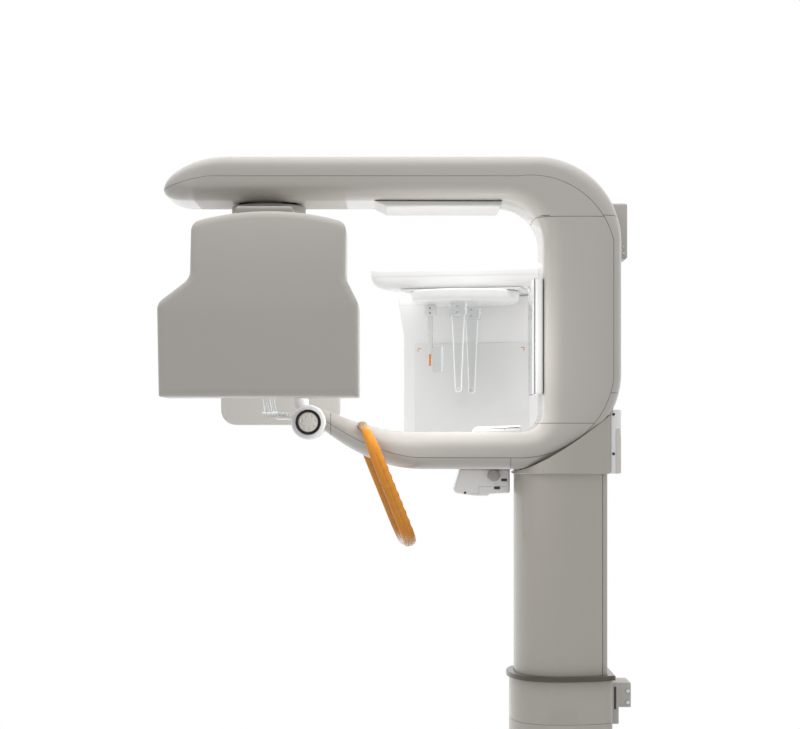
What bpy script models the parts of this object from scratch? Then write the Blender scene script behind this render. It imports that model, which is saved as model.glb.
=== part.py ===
# Panoramic x-ray machine with a cephalometric arm, on a telescoping column.
# Metres, +Z up, +X towards the wall, +Y towards the cephalometric head.
# The origin is on the floor, under the middle of the column.
import math

import bmesh
import bpy
from mathutils import Matrix, Vector

# clearances and walls
GAP = 0.0003
FRAME_CLEAR = 0.0009
WALL = 0.004
LEAST_CORNER = 0.001

# column: outlines bow out at the front and sides, and are flat towards the wall
COLUMN_HALF_X = 0.123
COLUMN_HALF_Y = 0.157
COLUMN_TOP = 0.800
INNER_HALF_X = COLUMN_HALF_X - 0.0115
INNER_HALF_Y = COLUMN_HALF_Y - 0.012
INNER_BOTTOM = 0.490
INNER_TOP = 1.3130
SIDE_FALL = 0.24
FOOT_HALF_X = COLUMN_HALF_X + 0.077
FOOT_HALF_Y = COLUMN_HALF_Y + 0.053
FOOT_THICK = 0.015
COLLAR_PROUD = 0.0075
COLLAR_THICK = 0.012
GLIDE_LOW = COLUMN_TOP - 0.100
GLIDE_HIGH = COLUMN_TOP - 0.020
SKIRT_HALF_X = INNER_HALF_X + 0.006
SKIRT_HALF_Y = INNER_HALF_Y + 0.007
SKIRT_BOTTOM = INNER_TOP - 0.010
SKIRT_TOP = INNER_TOP + 0.147
SLOPE_LOW = INNER_TOP - 0.005
SLOPE_RISE = 0.139
SLOPE_POWER = 1.35
REAR_HALF_Y = 0.100
BRACKET_STEP_X = COLUMN_HALF_X + 0.0215
WALL_FACE_X = BRACKET_STEP_X + 0.031
BRACKET_LOW = COLUMN_TOP - 0.1155
BRACKET_MID = COLUMN_TOP - 0.075
BRACKET_HIGH = COLUMN_TOP - 0.013
BRACKET_HALF_Y = 0.060
LIFT_DOWN = 0.430
LIFT_UP = 0.150
ACTUATOR_RADIUS = 0.030
ROD_RADIUS = 0.016
ROD_BOTTOM = FOOT_THICK + 0.020 + LIFT_DOWN
ACTUATOR_TOP = ROD_BOTTOM + LIFT_UP + 0.045
BASE_RADIUS = 0.050
BASE_TOP = 0.118

# C frame
BACK_OUT = SKIRT_HALF_X + 0.029
BACK_IN = BACK_OUT - 0.192
ARM_TOP = 2.081
ARM_UNDER = 1.973
LOW_UNDER = INNER_TOP + 0.001
LOW_TOP = LOW_UNDER + 0.093
FRAME_HALF_Y = 0.140
NOSE_Z = 2.000
NOSE_TOP_LENGTH = 0.165
NOSE_UNDER_LENGTH = 0.060
NOSE_X = -0.9785
NOSE_HALF_Y = 0.075
TOP_RADIUS_OUT = 0.210
TOP_RADIUS_IN = 0.105
LOW_CORNER_X = 0.272
LOW_CORNER_Z = 0.2355
LOW_RADIUS_IN = 0.050
RISE_UNDER_X = -0.3395
RISE_TOP_X = -0.3815
ARM_END_X = -0.585
RISE_UNDER = 0.096
RISE_TOP = 0.055
END_HALF_Y = 0.050
EDGE_IN = 0.045
EDGE_OUT = 0.035
POST_LOW_X = 0.000
POST_HIGH_X = 0.080
POST_HALF_Y = 0.070
BELLY_LOW_X = -0.4585
BELLY_HIGH_X = -0.1445
BELLY_THICK = 0.0155
BELLY_HALF_Y = 0.100
PAD_LOW_X = -0.2185
PAD_HIGH_X = -0.0985
PAD_HALF_Y = 0.085
PAD_THICK = 0.0145
MIRROR_LOW = LOW_TOP + 0.090
MIRROR_HIGH = MIRROR_LOW + 0.287
MIRROR_HALF_Y = 0.105
MIRROR_BACK_THICK = 0.020
MIRROR_GLASS_THICK = 0.0035
MIRROR_LIP = 0.003

# rotor
ROTOR_X = -0.7235
STAGE_TRAVEL = 0.020
SHAFT_RADIUS = 0.045
SHAFT_BORE = 0.032
SHAFT_TOP = ARM_UNDER + 0.070
CHASSIS_LOW_X = -0.880
CHASSIS_HIGH_X = 0.050
CHASSIS_HALF_Y = 0.090
CHASSIS_THICK = 0.010
RAIL_HALF_Y = 0.075
RAIL_THICK = 0.012
RAIL_WIDE = 0.016
RAIL_LOW_X = -0.860
RAIL_HIGH_X = -0.530
STAGE_THICK = 0.009
STAGE_HALF_Y = 0.088
STAGE_FRONT = 0.100
STAGE_BEHIND = 0.045
MOTOR_RADIUS = 0.032
BEARING_RADIUS = 0.070
BEARING_THICK = 0.020
GEAR_RADIUS = 0.085
PINION_RADIUS = 0.034
GEAR_THICK = 0.0117
HUB_RADIUS = SHAFT_RADIUS + 0.047
HUB_TOP = ARM_UNDER - 0.005
BEAM_TOP = ARM_UNDER - 0.023
BEAM_UNDER = BEAM_TOP - 0.0295
BEAM_HALF_X = SHAFT_RADIUS + 0.025

# tube head: an upright casing with sloping shoulders and a crowned top
HEAD_FRONT_Y = -0.380
HEAD_SEAM_Y = HEAD_FRONT_Y + 0.130
HEAD_REAR_Y = HEAD_SEAM_Y + 0.060
HEAD_BOTTOM = 1.486
HEAD_SHOULDER = 1.703
HEAD_NECK = 1.762
HEAD_CORNER = 1.898
HEAD_CROWN = 1.921
HEAD_LEFT = -0.236
HEAD_RIGHT = 0.231
NECK_LEFT = -0.160
NECK_RIGHT = 0.2014
HEAD_EDGE = 0.013
HANGER_THICK = 0.022
HANGER_LOW = 1.600
HANGER_HALF_X = 0.090
UNIT_HALF_X = 0.130
UNIT_LOW = HEAD_BOTTOM + 0.044
UNIT_HIGH = UNIT_LOW + 0.300
UNIT_PAD_HALF_X = 0.080
UNIT_PAD_LOW = UNIT_LOW + 0.090
UNIT_PAD_HIGH = UNIT_LOW + 0.270
LIMITER_HALF_X = 0.040
LIMITER_LOW = HEAD_BOTTOM + 0.049
LIMITER_HIGH = HEAD_BOTTOM + 0.114
BEAM_LOW = HEAD_BOTTOM + 0.059
BEAM_HIGH = HEAD_BOTTOM + 0.104

# sensor head
SENSOR_FRONT_Y = 0.315
SENSOR_SEAM_Y = SENSOR_FRONT_Y + 0.029
SENSOR_REAR_Y = SENSOR_SEAM_Y + 0.031
SENSOR_HALF_X = 0.158
SENSOR_OFFSET_X = 0.0095
SENSOR_BOTTOM = 1.426
SENSOR_TOP = 1.900
SENSOR_CORNER = 0.040
STRAP_HALF_X = 0.070
STRAP_LOW = SENSOR_BOTTOM + 0.044
PANEL_HALF_X = 0.130
PANEL_LOW = SENSOR_BOTTOM + 0.029
PANEL_HIGH = PANEL_LOW + 0.300

# chin support and its adjusting knob at the lower arm's end
KNOB_X = -0.6225
KNOB_Z = 1.430
HOUSING_RADIUS = 0.043
HOUSING_HALF_Y = 0.055
KNOB_RING_OUT = 0.0315
KNOB_RING_IN = 0.0258
KNOB_DEPTH = 0.020
SHELF_FRONT_X = KNOB_X - 0.081
SHELF_TOP = KNOB_Z + 0.015
SHELF_THICK = 0.018
SHELF_HALF_Y = 0.052
TEMPLE_HALF_Y = 0.091
TEMPLE_FOOT_Y = 0.026
TEMPLE_THICK = 0.004
TEMPLE_FRONT_X = KNOB_X - 0.113
TEMPLE_BLADE_X = KNOB_X - 0.089
TEMPLE_FOOT_X = (KNOB_X - 0.071, KNOB_X - 0.051)
TEMPLE_BLADE = 0.155
POST_X = KNOB_X - 0.020
POST_TOP = KNOB_Z + 0.090
REST_X = KNOB_X - 0.0375

# patient handle: a slanted loop around the lower arm
HANDLE_TOP = (-0.4845, 1.4245)
HANDLE_TILT = 22.0
HANDLE_LENGTH = 0.312
HANDLE_SKEW = 0.080
HANDLE_HALF_Y = 0.125
HANDLE_CORNER = 0.060
GRIP_WIDE = 0.0163
GRIP_DEEP = 0.011

# console under the lower arm
CONSOLE_X = -(INNER_HALF_X + 0.0085)
CONSOLE_LOW = (CONSOLE_X - 0.1435, 0.020, 1.245)
CONSOLE_HIGH = (CONSOLE_X, 0.120, LOW_UNDER - GAP)
STOP_RADIUS = 0.0155
STOP_AT = (CONSOLE_X - 0.0418, 0.020, LOW_UNDER - STOP_RADIUS - 0.001)
STOP_STEM = 0.007
STOP_STAND = 0.008
STOP_DEPTH = 0.014
STOP_REACH = 0.025
KEY_HALF = (0.007, 0.0028)
KEY_PLACES = ((CONSOLE_X - 0.0145, LOW_UNDER - 0.0284), (CONSOLE_X - 0.0325, LOW_UNDER - 0.0485))

# cephalometric arm and head
CEPH_X = -0.1935
CEPH_Y = 1.200
CEPH_TURN = -15.0
CEPH_ARM_X = 0.130
CEPH_ARM_START = FRAME_HALF_Y + GAP
CEPH_ARM_UNDER = 1.851
CEPH_ARM_TOP = 1.925
CEPH_ARM_HALF = 0.040
CEPH_END_HALF = 0.075
CEPH_ARM_END = -0.292
CEPH_BEND = 0.160
ROOT_OUT_X = 0.1705
ROOT_LOW = 1.837
ROOT_HIGH = 1.976
DISH_RADIUS = 0.168
DISH_TOP = CEPH_ARM_UNDER - 0.006
DISH_UNDER = DISH_TOP - 0.039
EAR_OFFSET = 0.093
EAR_HALF = 0.025
EAR_AXIS_Z = 1.5415
EAR_PLUG = 0.022
EAR_HEAD_LOW = DISH_UNDER - 0.041
HALF_BLADE = 0.004
NASION_LEFT = -0.126
NASION_RIGHT = -0.094
NASION_FACE = -0.104
NASION_HEAD_LOW = DISH_UNDER - 0.034
NASION_LOW = DISH_UNDER - 0.166
PLATE_HALF = 0.190
PLATE_NEAR = -0.075
DETECTOR_NEAR = 0.175
DETECTOR_FAR = 0.235
DETECTOR_LEFT = -0.245
DETECTOR_RIGHT = 0.205
DETECTOR_BOTTOM = 1.350
DETECTOR_WAIST = 1.720
DETECTOR_FLARE = 0.016
WINDOW_MARGIN = (0.038, 0.020, 0.039)
WINDOW_HIGH = DETECTOR_WAIST - 0.026

# each moving group: its parent group and a point on its joint's axis
CEPH_CENTRE = (CEPH_X, CEPH_Y, DISH_UNDER)
PINION_X = ROTOR_X + GEAR_RADIUS + PINION_RADIUS + 0.0005
BODIES = {
    "root": (None, (0, 0, 0)),
    "lift": ("root", (0, 0, COLUMN_TOP)),
    "stage": ("lift", (ROTOR_X, 0, ARM_UNDER)),
    "pinion": ("stage", (PINION_X, 0, ARM_UNDER)),
    "rotor": ("stage", (ROTOR_X, 0, BEAM_TOP)),
    "knob": ("lift", (KNOB_X, 0, KNOB_Z)),
    "temple_near": ("lift", (KNOB_X, 0, KNOB_Z)),
    "temple_far": ("lift", (KNOB_X, 0, KNOB_Z)),
    "stop": ("lift", STOP_AT),
    "key_up": ("lift", (KEY_PLACES[0][0], CONSOLE_LOW[1], KEY_PLACES[0][1])),
    "key_down": ("lift", (KEY_PLACES[1][0], CONSOLE_LOW[1], KEY_PLACES[1][1])),
    "ceph_turn": ("lift", CEPH_CENTRE),
    "ear_near": ("ceph_turn", CEPH_CENTRE),
    "ear_far": ("ceph_turn", CEPH_CENTRE),
    "nasion": ("ceph_turn", CEPH_CENTRE),
}

# colour, roughness, metallic, alpha
FINISHES = {
    "warm_white": ((0.78, 0.76, 0.73), 0.38, 0.0, 1.0),
    "cool_white": ((0.86, 0.86, 0.86), 0.35, 0.0, 1.0),
    "grey_cover": ((0.62, 0.62, 0.61), 0.45, 0.0, 1.0),
    "bronze": ((0.10, 0.08, 0.05), 0.40, 0.6, 1.0),
    "steel": ((0.55, 0.56, 0.58), 0.35, 0.9, 1.0),
    "dark_steel": ((0.16, 0.16, 0.17), 0.45, 0.7, 1.0),
    "amber": ((0.86, 0.50, 0.08), 0.35, 0.0, 1.0),
    "rubber": ((0.03, 0.03, 0.03), 0.70, 0.0, 1.0),
    "clear": ((0.90, 0.92, 0.93), 0.08, 0.0, 0.35),
    "mirror": ((0.90, 0.90, 0.90), 0.03, 1.0, 1.0),
    "sensor": ((0.20, 0.21, 0.22), 0.30, 0.0, 1.0),
}


def clear_scene():
    for obj in list(bpy.data.objects):
        bpy.data.objects.remove(obj, do_unlink=True)


def new_collection(name):
    made = bpy.data.collections.new(name)
    bpy.context.scene.collection.children.link(made)
    return made


def new_finish(name):
    colour, roughness, metallic, alpha = FINISHES[name]
    made = bpy.data.materials.new(name)
    made.use_nodes = True
    shader = made.node_tree.nodes["Principled BSDF"]
    shader.inputs["Base Color"].default_value = (*colour, 1.0)
    shader.inputs["Roughness"].default_value = roughness
    shader.inputs["Metallic"].default_value = metallic
    shader.inputs["Alpha"].default_value = alpha
    return made


clear_scene()
PARTS = new_collection("panoramic_xray_machine")
CUTTERS = new_collection("cutters")
MATERIALS = {name: new_finish(name) for name in FINISHES}
AXES = {}
for body, (parent, point) in BODIES.items():
    axis = bpy.data.objects.new("axis_" + body, None)
    PARTS.objects.link(axis)
    axis.location = Vector(point)
    if parent:
        axis.parent = AXES[parent]
        axis.location -= Vector(BODIES[parent][1])
    AXES[body] = axis


def mesh_of(name, bm):
    bmesh.ops.recalc_face_normals(bm, faces=bm.faces)
    mesh = bpy.data.meshes.new(name)
    bm.to_mesh(mesh)
    bm.free()
    return mesh


def add(name, bm, body, finish, at=None, turn=None):
    """A named piece of a body. The mesh is in world places, or about the point `at`, turned by `turn`."""
    mesh = mesh_of(name, bm)
    base = Vector(BODIES[body][1])
    obj = bpy.data.objects.new(name, mesh)
    if at is None:
        mesh.transform(Matrix.Translation(-base))
    else:
        obj.location = Vector(at) - base
    if turn:
        obj.rotation_euler = turn
    mesh.materials.append(MATERIALS[finish])
    mesh.shade_smooth()
    mesh.set_sharp_from_angle(angle=math.radians(32))
    PARTS.objects.link(obj)
    obj.parent = AXES[body]
    return obj


def add_cutter(name, bm):
    obj = bpy.data.objects.new(name, mesh_of(name, bm))
    CUTTERS.objects.link(obj)
    obj.hide_render = True
    obj.display_type = "WIRE"
    return obj


def cut(obj, *cutters, operation="DIFFERENCE"):
    for cutter in cutters:
        step = obj.modifiers.new(operation.lower(), "BOOLEAN")
        step.operation = operation
        step.object = cutter
        step.solver = "EXACT"


def soften(obj, width, segments=2, angle=40):
    step = obj.modifiers.new("edges", "BEVEL")
    step.width = width
    step.segments = segments
    step.limit_method = "ANGLE"
    step.angle_limit = math.radians(angle)


def block(low, high):
    bm = bmesh.new()
    low, high = Vector(low), Vector(high)
    size = Matrix.Diagonal((*(high - low), 1))
    bmesh.ops.create_cube(bm, size=1, matrix=Matrix.Translation((low + high) / 2) @ size)
    return bm


def rod(start, end, radius, sides=24):
    """A cylinder between two points."""
    bm = bmesh.new()
    start, end = Vector(start), Vector(end)
    along = end - start
    place = Matrix.Translation((start + end) / 2) @ along.to_track_quat("Z", "Y").to_matrix().to_4x4()
    bmesh.ops.create_cone(
        bm, cap_ends=True, segments=sides, radius1=radius, radius2=radius, depth=along.length, matrix=place
    )
    return bm


def loft(rings, closed=False):
    """Skin over rings of equal count: a closed loop of rings, or a bar with a cap at each end."""
    bm = bmesh.new()
    rows = [[bm.verts.new(point) for point in ring] for ring in rings]
    count = len(rows[0])
    pairs = list(zip(rows, rows[1:]))
    if closed:
        pairs.append((rows[-1], rows[0]))
    for one, two in pairs:
        for i in range(count):
            j = (i + 1) % count
            bm.faces.new((one[i], one[j], two[j], two[i]))
    if not closed:
        bm.faces.new(rows[0])
        bm.faces.new(rows[-1])
    return bm


def turned(name, profile, body, finish, at, sides=32, turn=None):
    """A profile of (radius, height) points, outer side top to bottom, spun about the local Z axis."""
    bm = bmesh.new()
    points = [bm.verts.new((radius, 0, height)) for radius, height in profile]
    for one, two in zip(points, points[1:]):
        bm.edges.new((one, two))
    if profile[0][0] > 0:
        bm.edges.new((points[-1], points[0]))
    obj = add(name, bm, body, finish, at=at, turn=turn)
    step = obj.modifiers.new("spin", "SCREW")
    step.steps = step.render_steps = sides
    step.use_merge_vertices = True
    step.merge_threshold = 0.00001
    step.use_normal_calculate = False
    return obj


def smooth_step(value):
    value = min(max(value, 0.0), 1.0)
    return value * value * (3 - 2 * value)


def blend(one, two, share):
    return one + (two - one) * share


def fillet(corners, steps=4):
    """An outline from (x, y, radius) corners, each rounded by an arc."""
    outline = []
    count = len(corners)
    for i, (x, y, radius) in enumerate(corners):
        here = Vector((x, y))
        before = (Vector(corners[i - 1][:2]) - here).normalized()
        after = (Vector(corners[(i + 1) % count][:2]) - here).normalized()
        if radius == 0:
            outline.append(here)
            continue
        half = before.angle(after) / 2
        centre = here + (before + after).normalized() * radius / math.sin(half)
        first = here + before * radius / math.tan(half) - centre
        turn = (math.pi - 2 * half) * (1 if before.cross(after) < 0 else -1)
        for step in range(steps + 1):
            outline.append(centre + first @ Matrix.Rotation(-turn * step / steps, 2))
    return outline


def inset(outline, distance):
    """The outline moved inwards by a distance, for an outline that runs anticlockwise."""
    moved = []
    count = len(outline)
    for i, here in enumerate(outline):
        one = (here - outline[i - 1]).normalized()
        two = (outline[(i + 1) % count] - here).normalized()
        normal = (Vector((-one.y, one.x)) + Vector((-two.y, two.x))).normalized()
        reach = max(normal.dot(Vector((-two.y, two.x))), 0.5)
        moved.append(here + normal * distance / reach)
    return moved


def inset_corners(corners, distance):
    """The corners of the outline drawn inwards by a distance, with arcs about the same centres."""
    moved = inset([Vector(corner[:2]) for corner in corners], distance)
    drawn = []
    for i, (x, y, radius) in enumerate(corners):
        here = Vector((x, y))
        before = here - Vector(corners[i - 1][:2])
        after = Vector(corners[(i + 1) % len(corners)][:2]) - here
        way = 1 if before.cross(after) > 0 else -1
        new_radius = max(radius - way * distance, LEAST_CORNER) if radius else 0
        drawn.append((moved[i].x, moved[i].y, new_radius))
    return drawn


def column_ring(half_x, half_y, height):
    """Column outline: an oval front half, sides that fall off a little, and a flat back."""
    front_steps = 8
    side_steps = 3
    corner = 0.012
    near = []
    for i in range(front_steps):
        angle = math.pi / 2 * i / front_steps
        near.append((-half_x * math.cos(angle) ** 0.85, -half_y * math.sin(angle) ** 0.85))
    for i in range(side_steps + 1):
        x = (half_x - corner) * i / side_steps
        near.append((x, -half_y * (1 - SIDE_FALL * (x / half_x) ** 2)))
    near.append((half_x, near[-1][1] + corner))
    far = [(x, -y) for x, y in reversed(near[1:])]
    return [Vector((x, y, height)) for x, y in near + far]


def spread(low, high, steps):
    """Shares from low to high, closest together at both ends."""
    return [blend(low, high, (1 - math.cos(math.pi * i / steps)) / 2) for i in range(steps + 1)]


def section(low, high, side, half, shares, grow=0.0):
    """A slice of a round-edged bar at some shares of the way from its `low` point to its `high` point.

    `grow` moves the surface outwards, or inwards where it is negative."""
    along = high - low
    thick = along.length
    along = along.normalized()
    edge_in = min(EDGE_IN, 0.46 * thick, half * 0.9)
    edge_out = min(EDGE_OUT, 0.46 * thick, half * 0.9)
    sides = []
    for share in shares:
        n = share * thick
        width = half
        if n < edge_in:
            width = half - edge_in + math.sqrt(max(edge_in**2 - (edge_in - n) ** 2, 0))
        elif n > thick - edge_out:
            width = half - edge_out + math.sqrt(max(edge_out**2 - (n - thick + edge_out) ** 2, 0))
        sides.append((low + along * (n + blend(-grow, grow, share)), width + grow))
    ring = [point - side * width for point, width in sides]
    return ring + [point + side * width for point, width in reversed(sides)]


def frame_stations():
    """Places down the C, nose to lower arm's end: inner and outer point, half width, cover share."""
    stations = []
    nose_steps = 5
    corner_steps = 8
    rise_steps = 6
    arm_share = 0.49
    back_share = 0.115
    low_share = 0.31
    end_share = 0.50

    def put(inner, outer, half, share):
        stations.append((Vector((inner[0], 0, inner[1])), Vector((outer[0], 0, outer[1])), half, share))

    for i in range(nose_steps + 1):
        angle = math.radians(blend(9, 90, i / nose_steps))
        c, s = 1 - math.cos(angle), math.sin(angle)
        put(
            (NOSE_X + NOSE_UNDER_LENGTH * c, blend(NOSE_Z, ARM_UNDER, s)),
            (NOSE_X + NOSE_TOP_LENGTH * c, blend(NOSE_Z, ARM_TOP, s)),
            blend(NOSE_HALF_Y, FRAME_HALF_Y, s),
            blend(0.75, arm_share, i / nose_steps),
        )
    put((-0.60, ARM_UNDER), (-0.58, ARM_TOP), FRAME_HALF_Y, arm_share)
    for i in range(corner_steps + 1):
        angle = math.pi / 2 * (1 - i / corner_steps)
        c, s = math.cos(angle) - 1, math.sin(angle) - 1
        put(
            (BACK_IN + TOP_RADIUS_IN * c, ARM_UNDER + TOP_RADIUS_IN * s),
            (BACK_OUT + TOP_RADIUS_OUT * c, ARM_TOP + TOP_RADIUS_OUT * s),
            FRAME_HALF_Y,
            blend(arm_share, back_share, i / corner_steps),
        )
    for i in range(corner_steps + 1):
        angle = math.pi / 2 * i / corner_steps
        c, s = math.cos(angle) - 1, 1 - math.sin(angle)
        put(
            (BACK_IN + LOW_RADIUS_IN * c, LOW_TOP + LOW_RADIUS_IN * s),
            (BACK_OUT + LOW_CORNER_X * c, LOW_UNDER + LOW_CORNER_Z * s),
            FRAME_HALF_Y,
            blend(back_share, low_share, i / corner_steps),
        )
    for i in range(rise_steps + 1):
        share = i / rise_steps
        put(
            (blend(RISE_TOP_X, ARM_END_X, share), LOW_TOP + RISE_TOP * share**1.6),
            (blend(RISE_UNDER_X, ARM_END_X, share), LOW_UNDER + RISE_UNDER * share**2),
            blend(blend(FRAME_HALF_Y, END_HALF_Y, 0.35), END_HALF_Y, smooth_step(share)),
            blend(low_share, end_share, share),
        )
    return stations


STATIONS = frame_stations()
SIDE = Vector((0, 1, 0))


def inner_shares(cover, thick):
    return spread(0, 1 - cover - GAP / 2 / thick, 7)


def band_shares(cover, thick):
    return spread(1 - cover + GAP / 2 / thick, 1, 5)


def frame_loft(shares_of, grow=0.0, first=0, last=None):
    return loft([section(p, q, SIDE, half, shares_of(cover, (q - p).length), grow)
                 for p, q, half, cover in STATIONS[first:last]])


def frame_whole(name, grow):
    def both(cover, thick):
        return inner_shares(cover, thick) + band_shares(cover, thick)
    return add_cutter(name, frame_loft(both, grow))


def make_root():
    foot = block((-FOOT_HALF_X, -FOOT_HALF_Y, 0), (FOOT_HALF_X, FOOT_HALF_Y, FOOT_THICK))
    floor = add("floor_plate", foot, "root", "dark_steel")
    soften(floor, 0.004)
    outer = [column_ring(COLUMN_HALF_X, COLUMN_HALF_Y, z) for z in (FOOT_THICK + GAP, COLUMN_TOP)]
    hollow = (COLUMN_HALF_X - WALL, COLUMN_HALF_Y - WALL)
    inner = [column_ring(*hollow, z) for z in (COLUMN_TOP, FOOT_THICK + GAP)]
    add("lower_column", loft(outer + inner, closed=True), "root", "warm_white")

    low, high = COLUMN_TOP + GAP, COLUMN_TOP + COLLAR_THICK
    collar_out = (COLUMN_HALF_X + COLLAR_PROUD, COLUMN_HALF_Y + COLLAR_PROUD)
    collar_in = (INNER_HALF_X + 0.001, INNER_HALF_Y + 0.001)
    rings = [column_ring(*collar_out, low), column_ring(*collar_out, high),
             column_ring(*collar_in, high), column_ring(*collar_in, low)]
    add("column_collar", loft(rings, closed=True), "root", "bronze")

    liner_out = (COLUMN_HALF_X - WALL - GAP, COLUMN_HALF_Y - WALL - GAP)
    liner_in = (INNER_HALF_X + GAP, INNER_HALF_Y + GAP)
    rings = [column_ring(*liner_out, GLIDE_LOW), column_ring(*liner_out, GLIDE_HIGH),
             column_ring(*liner_in, GLIDE_HIGH), column_ring(*liner_in, GLIDE_LOW)]
    add("column_glide_liner", loft(rings, closed=True), "root", "rubber")

    body = turned("lift_actuator", [(0, ACTUATOR_TOP), (ACTUATOR_RADIUS, ACTUATOR_TOP),
                                    (ACTUATOR_RADIUS, BASE_TOP + 0.002),
                                    (BASE_RADIUS, BASE_TOP), (BASE_RADIUS, FOOT_THICK + GAP),
                                    (0, FOOT_THICK + GAP)],
                  "root", "dark_steel", (0, 0, 0), 24)
    bore = rod((0, 0, ROD_BOTTOM - LIFT_DOWN - 0.005), (0, 0, ACTUATOR_TOP + 0.02), ROD_RADIUS + GAP)
    cut(body, add_cutter("actuator_bore", bore))

    plate = add("wall_bracket", block((COLUMN_HALF_X + GAP, -BRACKET_HALF_Y, BRACKET_LOW),
                                      (BRACKET_STEP_X, BRACKET_HALF_Y, BRACKET_HIGH)), "root", "grey_cover")
    arm = add_cutter("bracket_arm", block((BRACKET_STEP_X - 0.004, -BRACKET_HALF_Y + 0.008, BRACKET_MID),
                                          (WALL_FACE_X, BRACKET_HALF_Y - 0.008, BRACKET_HIGH - 0.001)))
    cut(plate, arm, operation="UNION")


def make_column_head(whole):
    outer = [column_ring(INNER_HALF_X, INNER_HALF_Y, z) for z in (INNER_TOP, INNER_BOTTOM)]
    hollow = (INNER_HALF_X - WALL, INNER_HALF_Y - WALL)
    inner = [column_ring(*hollow, z) for z in (INNER_BOTTOM, INNER_TOP - WALL * 2)]
    add("inner_column", loft(outer + inner), "lift", "warm_white")
    stem = rod((0, 0, ROD_BOTTOM), (0, 0, INNER_TOP - WALL * 2 - GAP), ROD_RADIUS)
    add("actuator_rod", stem, "lift", "steel")

    tight_x, tight_y = INNER_HALF_X + GAP, INNER_HALF_Y + GAP
    floor = SKIRT_BOTTOM + WALL
    rings = [
        column_ring(SKIRT_HALF_X, SKIRT_HALF_Y, SKIRT_BOTTOM),
        column_ring(SKIRT_HALF_X, SKIRT_HALF_Y, SKIRT_TOP),
        column_ring(SKIRT_HALF_X - WALL, SKIRT_HALF_Y - WALL, SKIRT_TOP),
        column_ring(SKIRT_HALF_X - WALL, SKIRT_HALF_Y - WALL, floor),
        column_ring(tight_x, tight_y, floor),
        column_ring(tight_x, tight_y, SKIRT_BOTTOM),
    ]
    skirt = add("neck_skirt", loft(rings, closed=True), "lift", "warm_white")
    slope = []
    steps = 6
    for i in range(steps + 1):
        share = i / steps
        x = blend(-SKIRT_HALF_X - 0.001, SKIRT_HALF_X, share)
        slope.append((x, SLOPE_LOW + SLOPE_RISE * share**SLOPE_POWER))
    far_x, far_y, high = SKIRT_HALF_X + 0.08, SKIRT_HALF_Y + 0.05, SKIRT_TOP + 0.14
    roof = [(-far_x, slope[0][1]), *slope, (far_x, slope[-1][1]), (far_x, high), (-far_x, high)]
    above = [[Vector((x, y, z)) for x, z in roof] for y in (-far_y, far_y)]
    cut(skirt, add_cutter("skirt_slope", loft(above)), whole)

    rear = add("rear_cover", block((SKIRT_HALF_X + GAP, -REAR_HALF_Y, SKIRT_BOTTOM),
                                   (BACK_OUT, REAR_HALF_Y, SKIRT_TOP)), "lift", "cool_white")
    soften(rear, 0.006)
    cut(rear, whole)


def make_frame():
    """The C: an inner channel with both sides, closed outside by a band cover, over a steel chassis."""
    void = add_cutter("frame_void", frame_loft(lambda cover, thick: spread(0, 1, 8), -WALL, 2, -1))
    inner = add("frame_inner_cover", frame_loft(inner_shares), "lift", "warm_white")
    band = add("frame_band_cover", frame_loft(band_shares), "lift", "cool_white")
    reach = SHAFT_RADIUS + 0.006
    slot = add_cutter("shaft_slot", block((ROTOR_X - reach - STAGE_TRAVEL, -reach, ARM_UNDER - 0.02),
                                          (ROTOR_X + reach + STAGE_TRAVEL, reach, ARM_UNDER + 0.03)))
    seat = add_cutter("housing_seat", housing_shape(GAP, 0.045))
    clear = 0.002
    hole = add_cutter("post_hole", block((POST_LOW_X - clear, -POST_HALF_Y - clear, LOW_UNDER - 0.02),
                                         (POST_HIGH_X + clear, POST_HALF_Y + clear, LOW_TOP + 0.03)))
    groove = add_cutter("handle_groove", handle_shape(0.0006))
    cut(inner, slot, seat, groove, void)
    cut(band, hole, seat, void)

    plate_low = ARM_UNDER + WALL + 0.0005
    plate = add("arm_chassis", block((CHASSIS_LOW_X, -CHASSIS_HALF_Y, plate_low),
                                     (CHASSIS_HIGH_X, CHASSIS_HALF_Y, plate_low + CHASSIS_THICK)),
                "lift", "dark_steel")
    cut(plate, slot)
    add("frame_post", block((POST_LOW_X, -POST_HALF_Y, INNER_TOP + GAP),
                            (POST_HIGH_X, POST_HALF_Y, plate_low - GAP)), "lift", "dark_steel")
    belly = add("arm_belly_cover", block((BELLY_LOW_X, -BELLY_HALF_Y, ARM_UNDER - BELLY_THICK),
                                         (BELLY_HIGH_X, BELLY_HALF_Y, ARM_UNDER - GAP)), "lift", "cool_white")
    soften(belly, 0.008)
    slab = block((PAD_LOW_X, -PAD_HALF_Y, LOW_TOP + GAP), (PAD_HIGH_X, PAD_HALF_Y, LOW_TOP + PAD_THICK))
    pad = add("corner_pad", slab, "lift", "cool_white")
    soften(pad, 0.007)
    back_x, half, lip = BACK_IN - MIRROR_BACK_THICK, MIRROR_HALF_Y, MIRROR_LIP
    frame = add("mirror_frame", block((back_x, -half, MIRROR_LOW), (BACK_IN - GAP, half, MIRROR_HIGH)),
                "lift", "cool_white")
    soften(frame, 0.005)
    pane = block((back_x - MIRROR_GLASS_THICK, lip - half, MIRROR_LOW + lip),
                 (back_x - GAP, half - lip, MIRROR_HIGH - lip))
    glass = add("mirror_glass", pane, "lift", "mirror")
    soften(glass, 0.001, 1)
    return plate_low + CHASSIS_THICK


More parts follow.
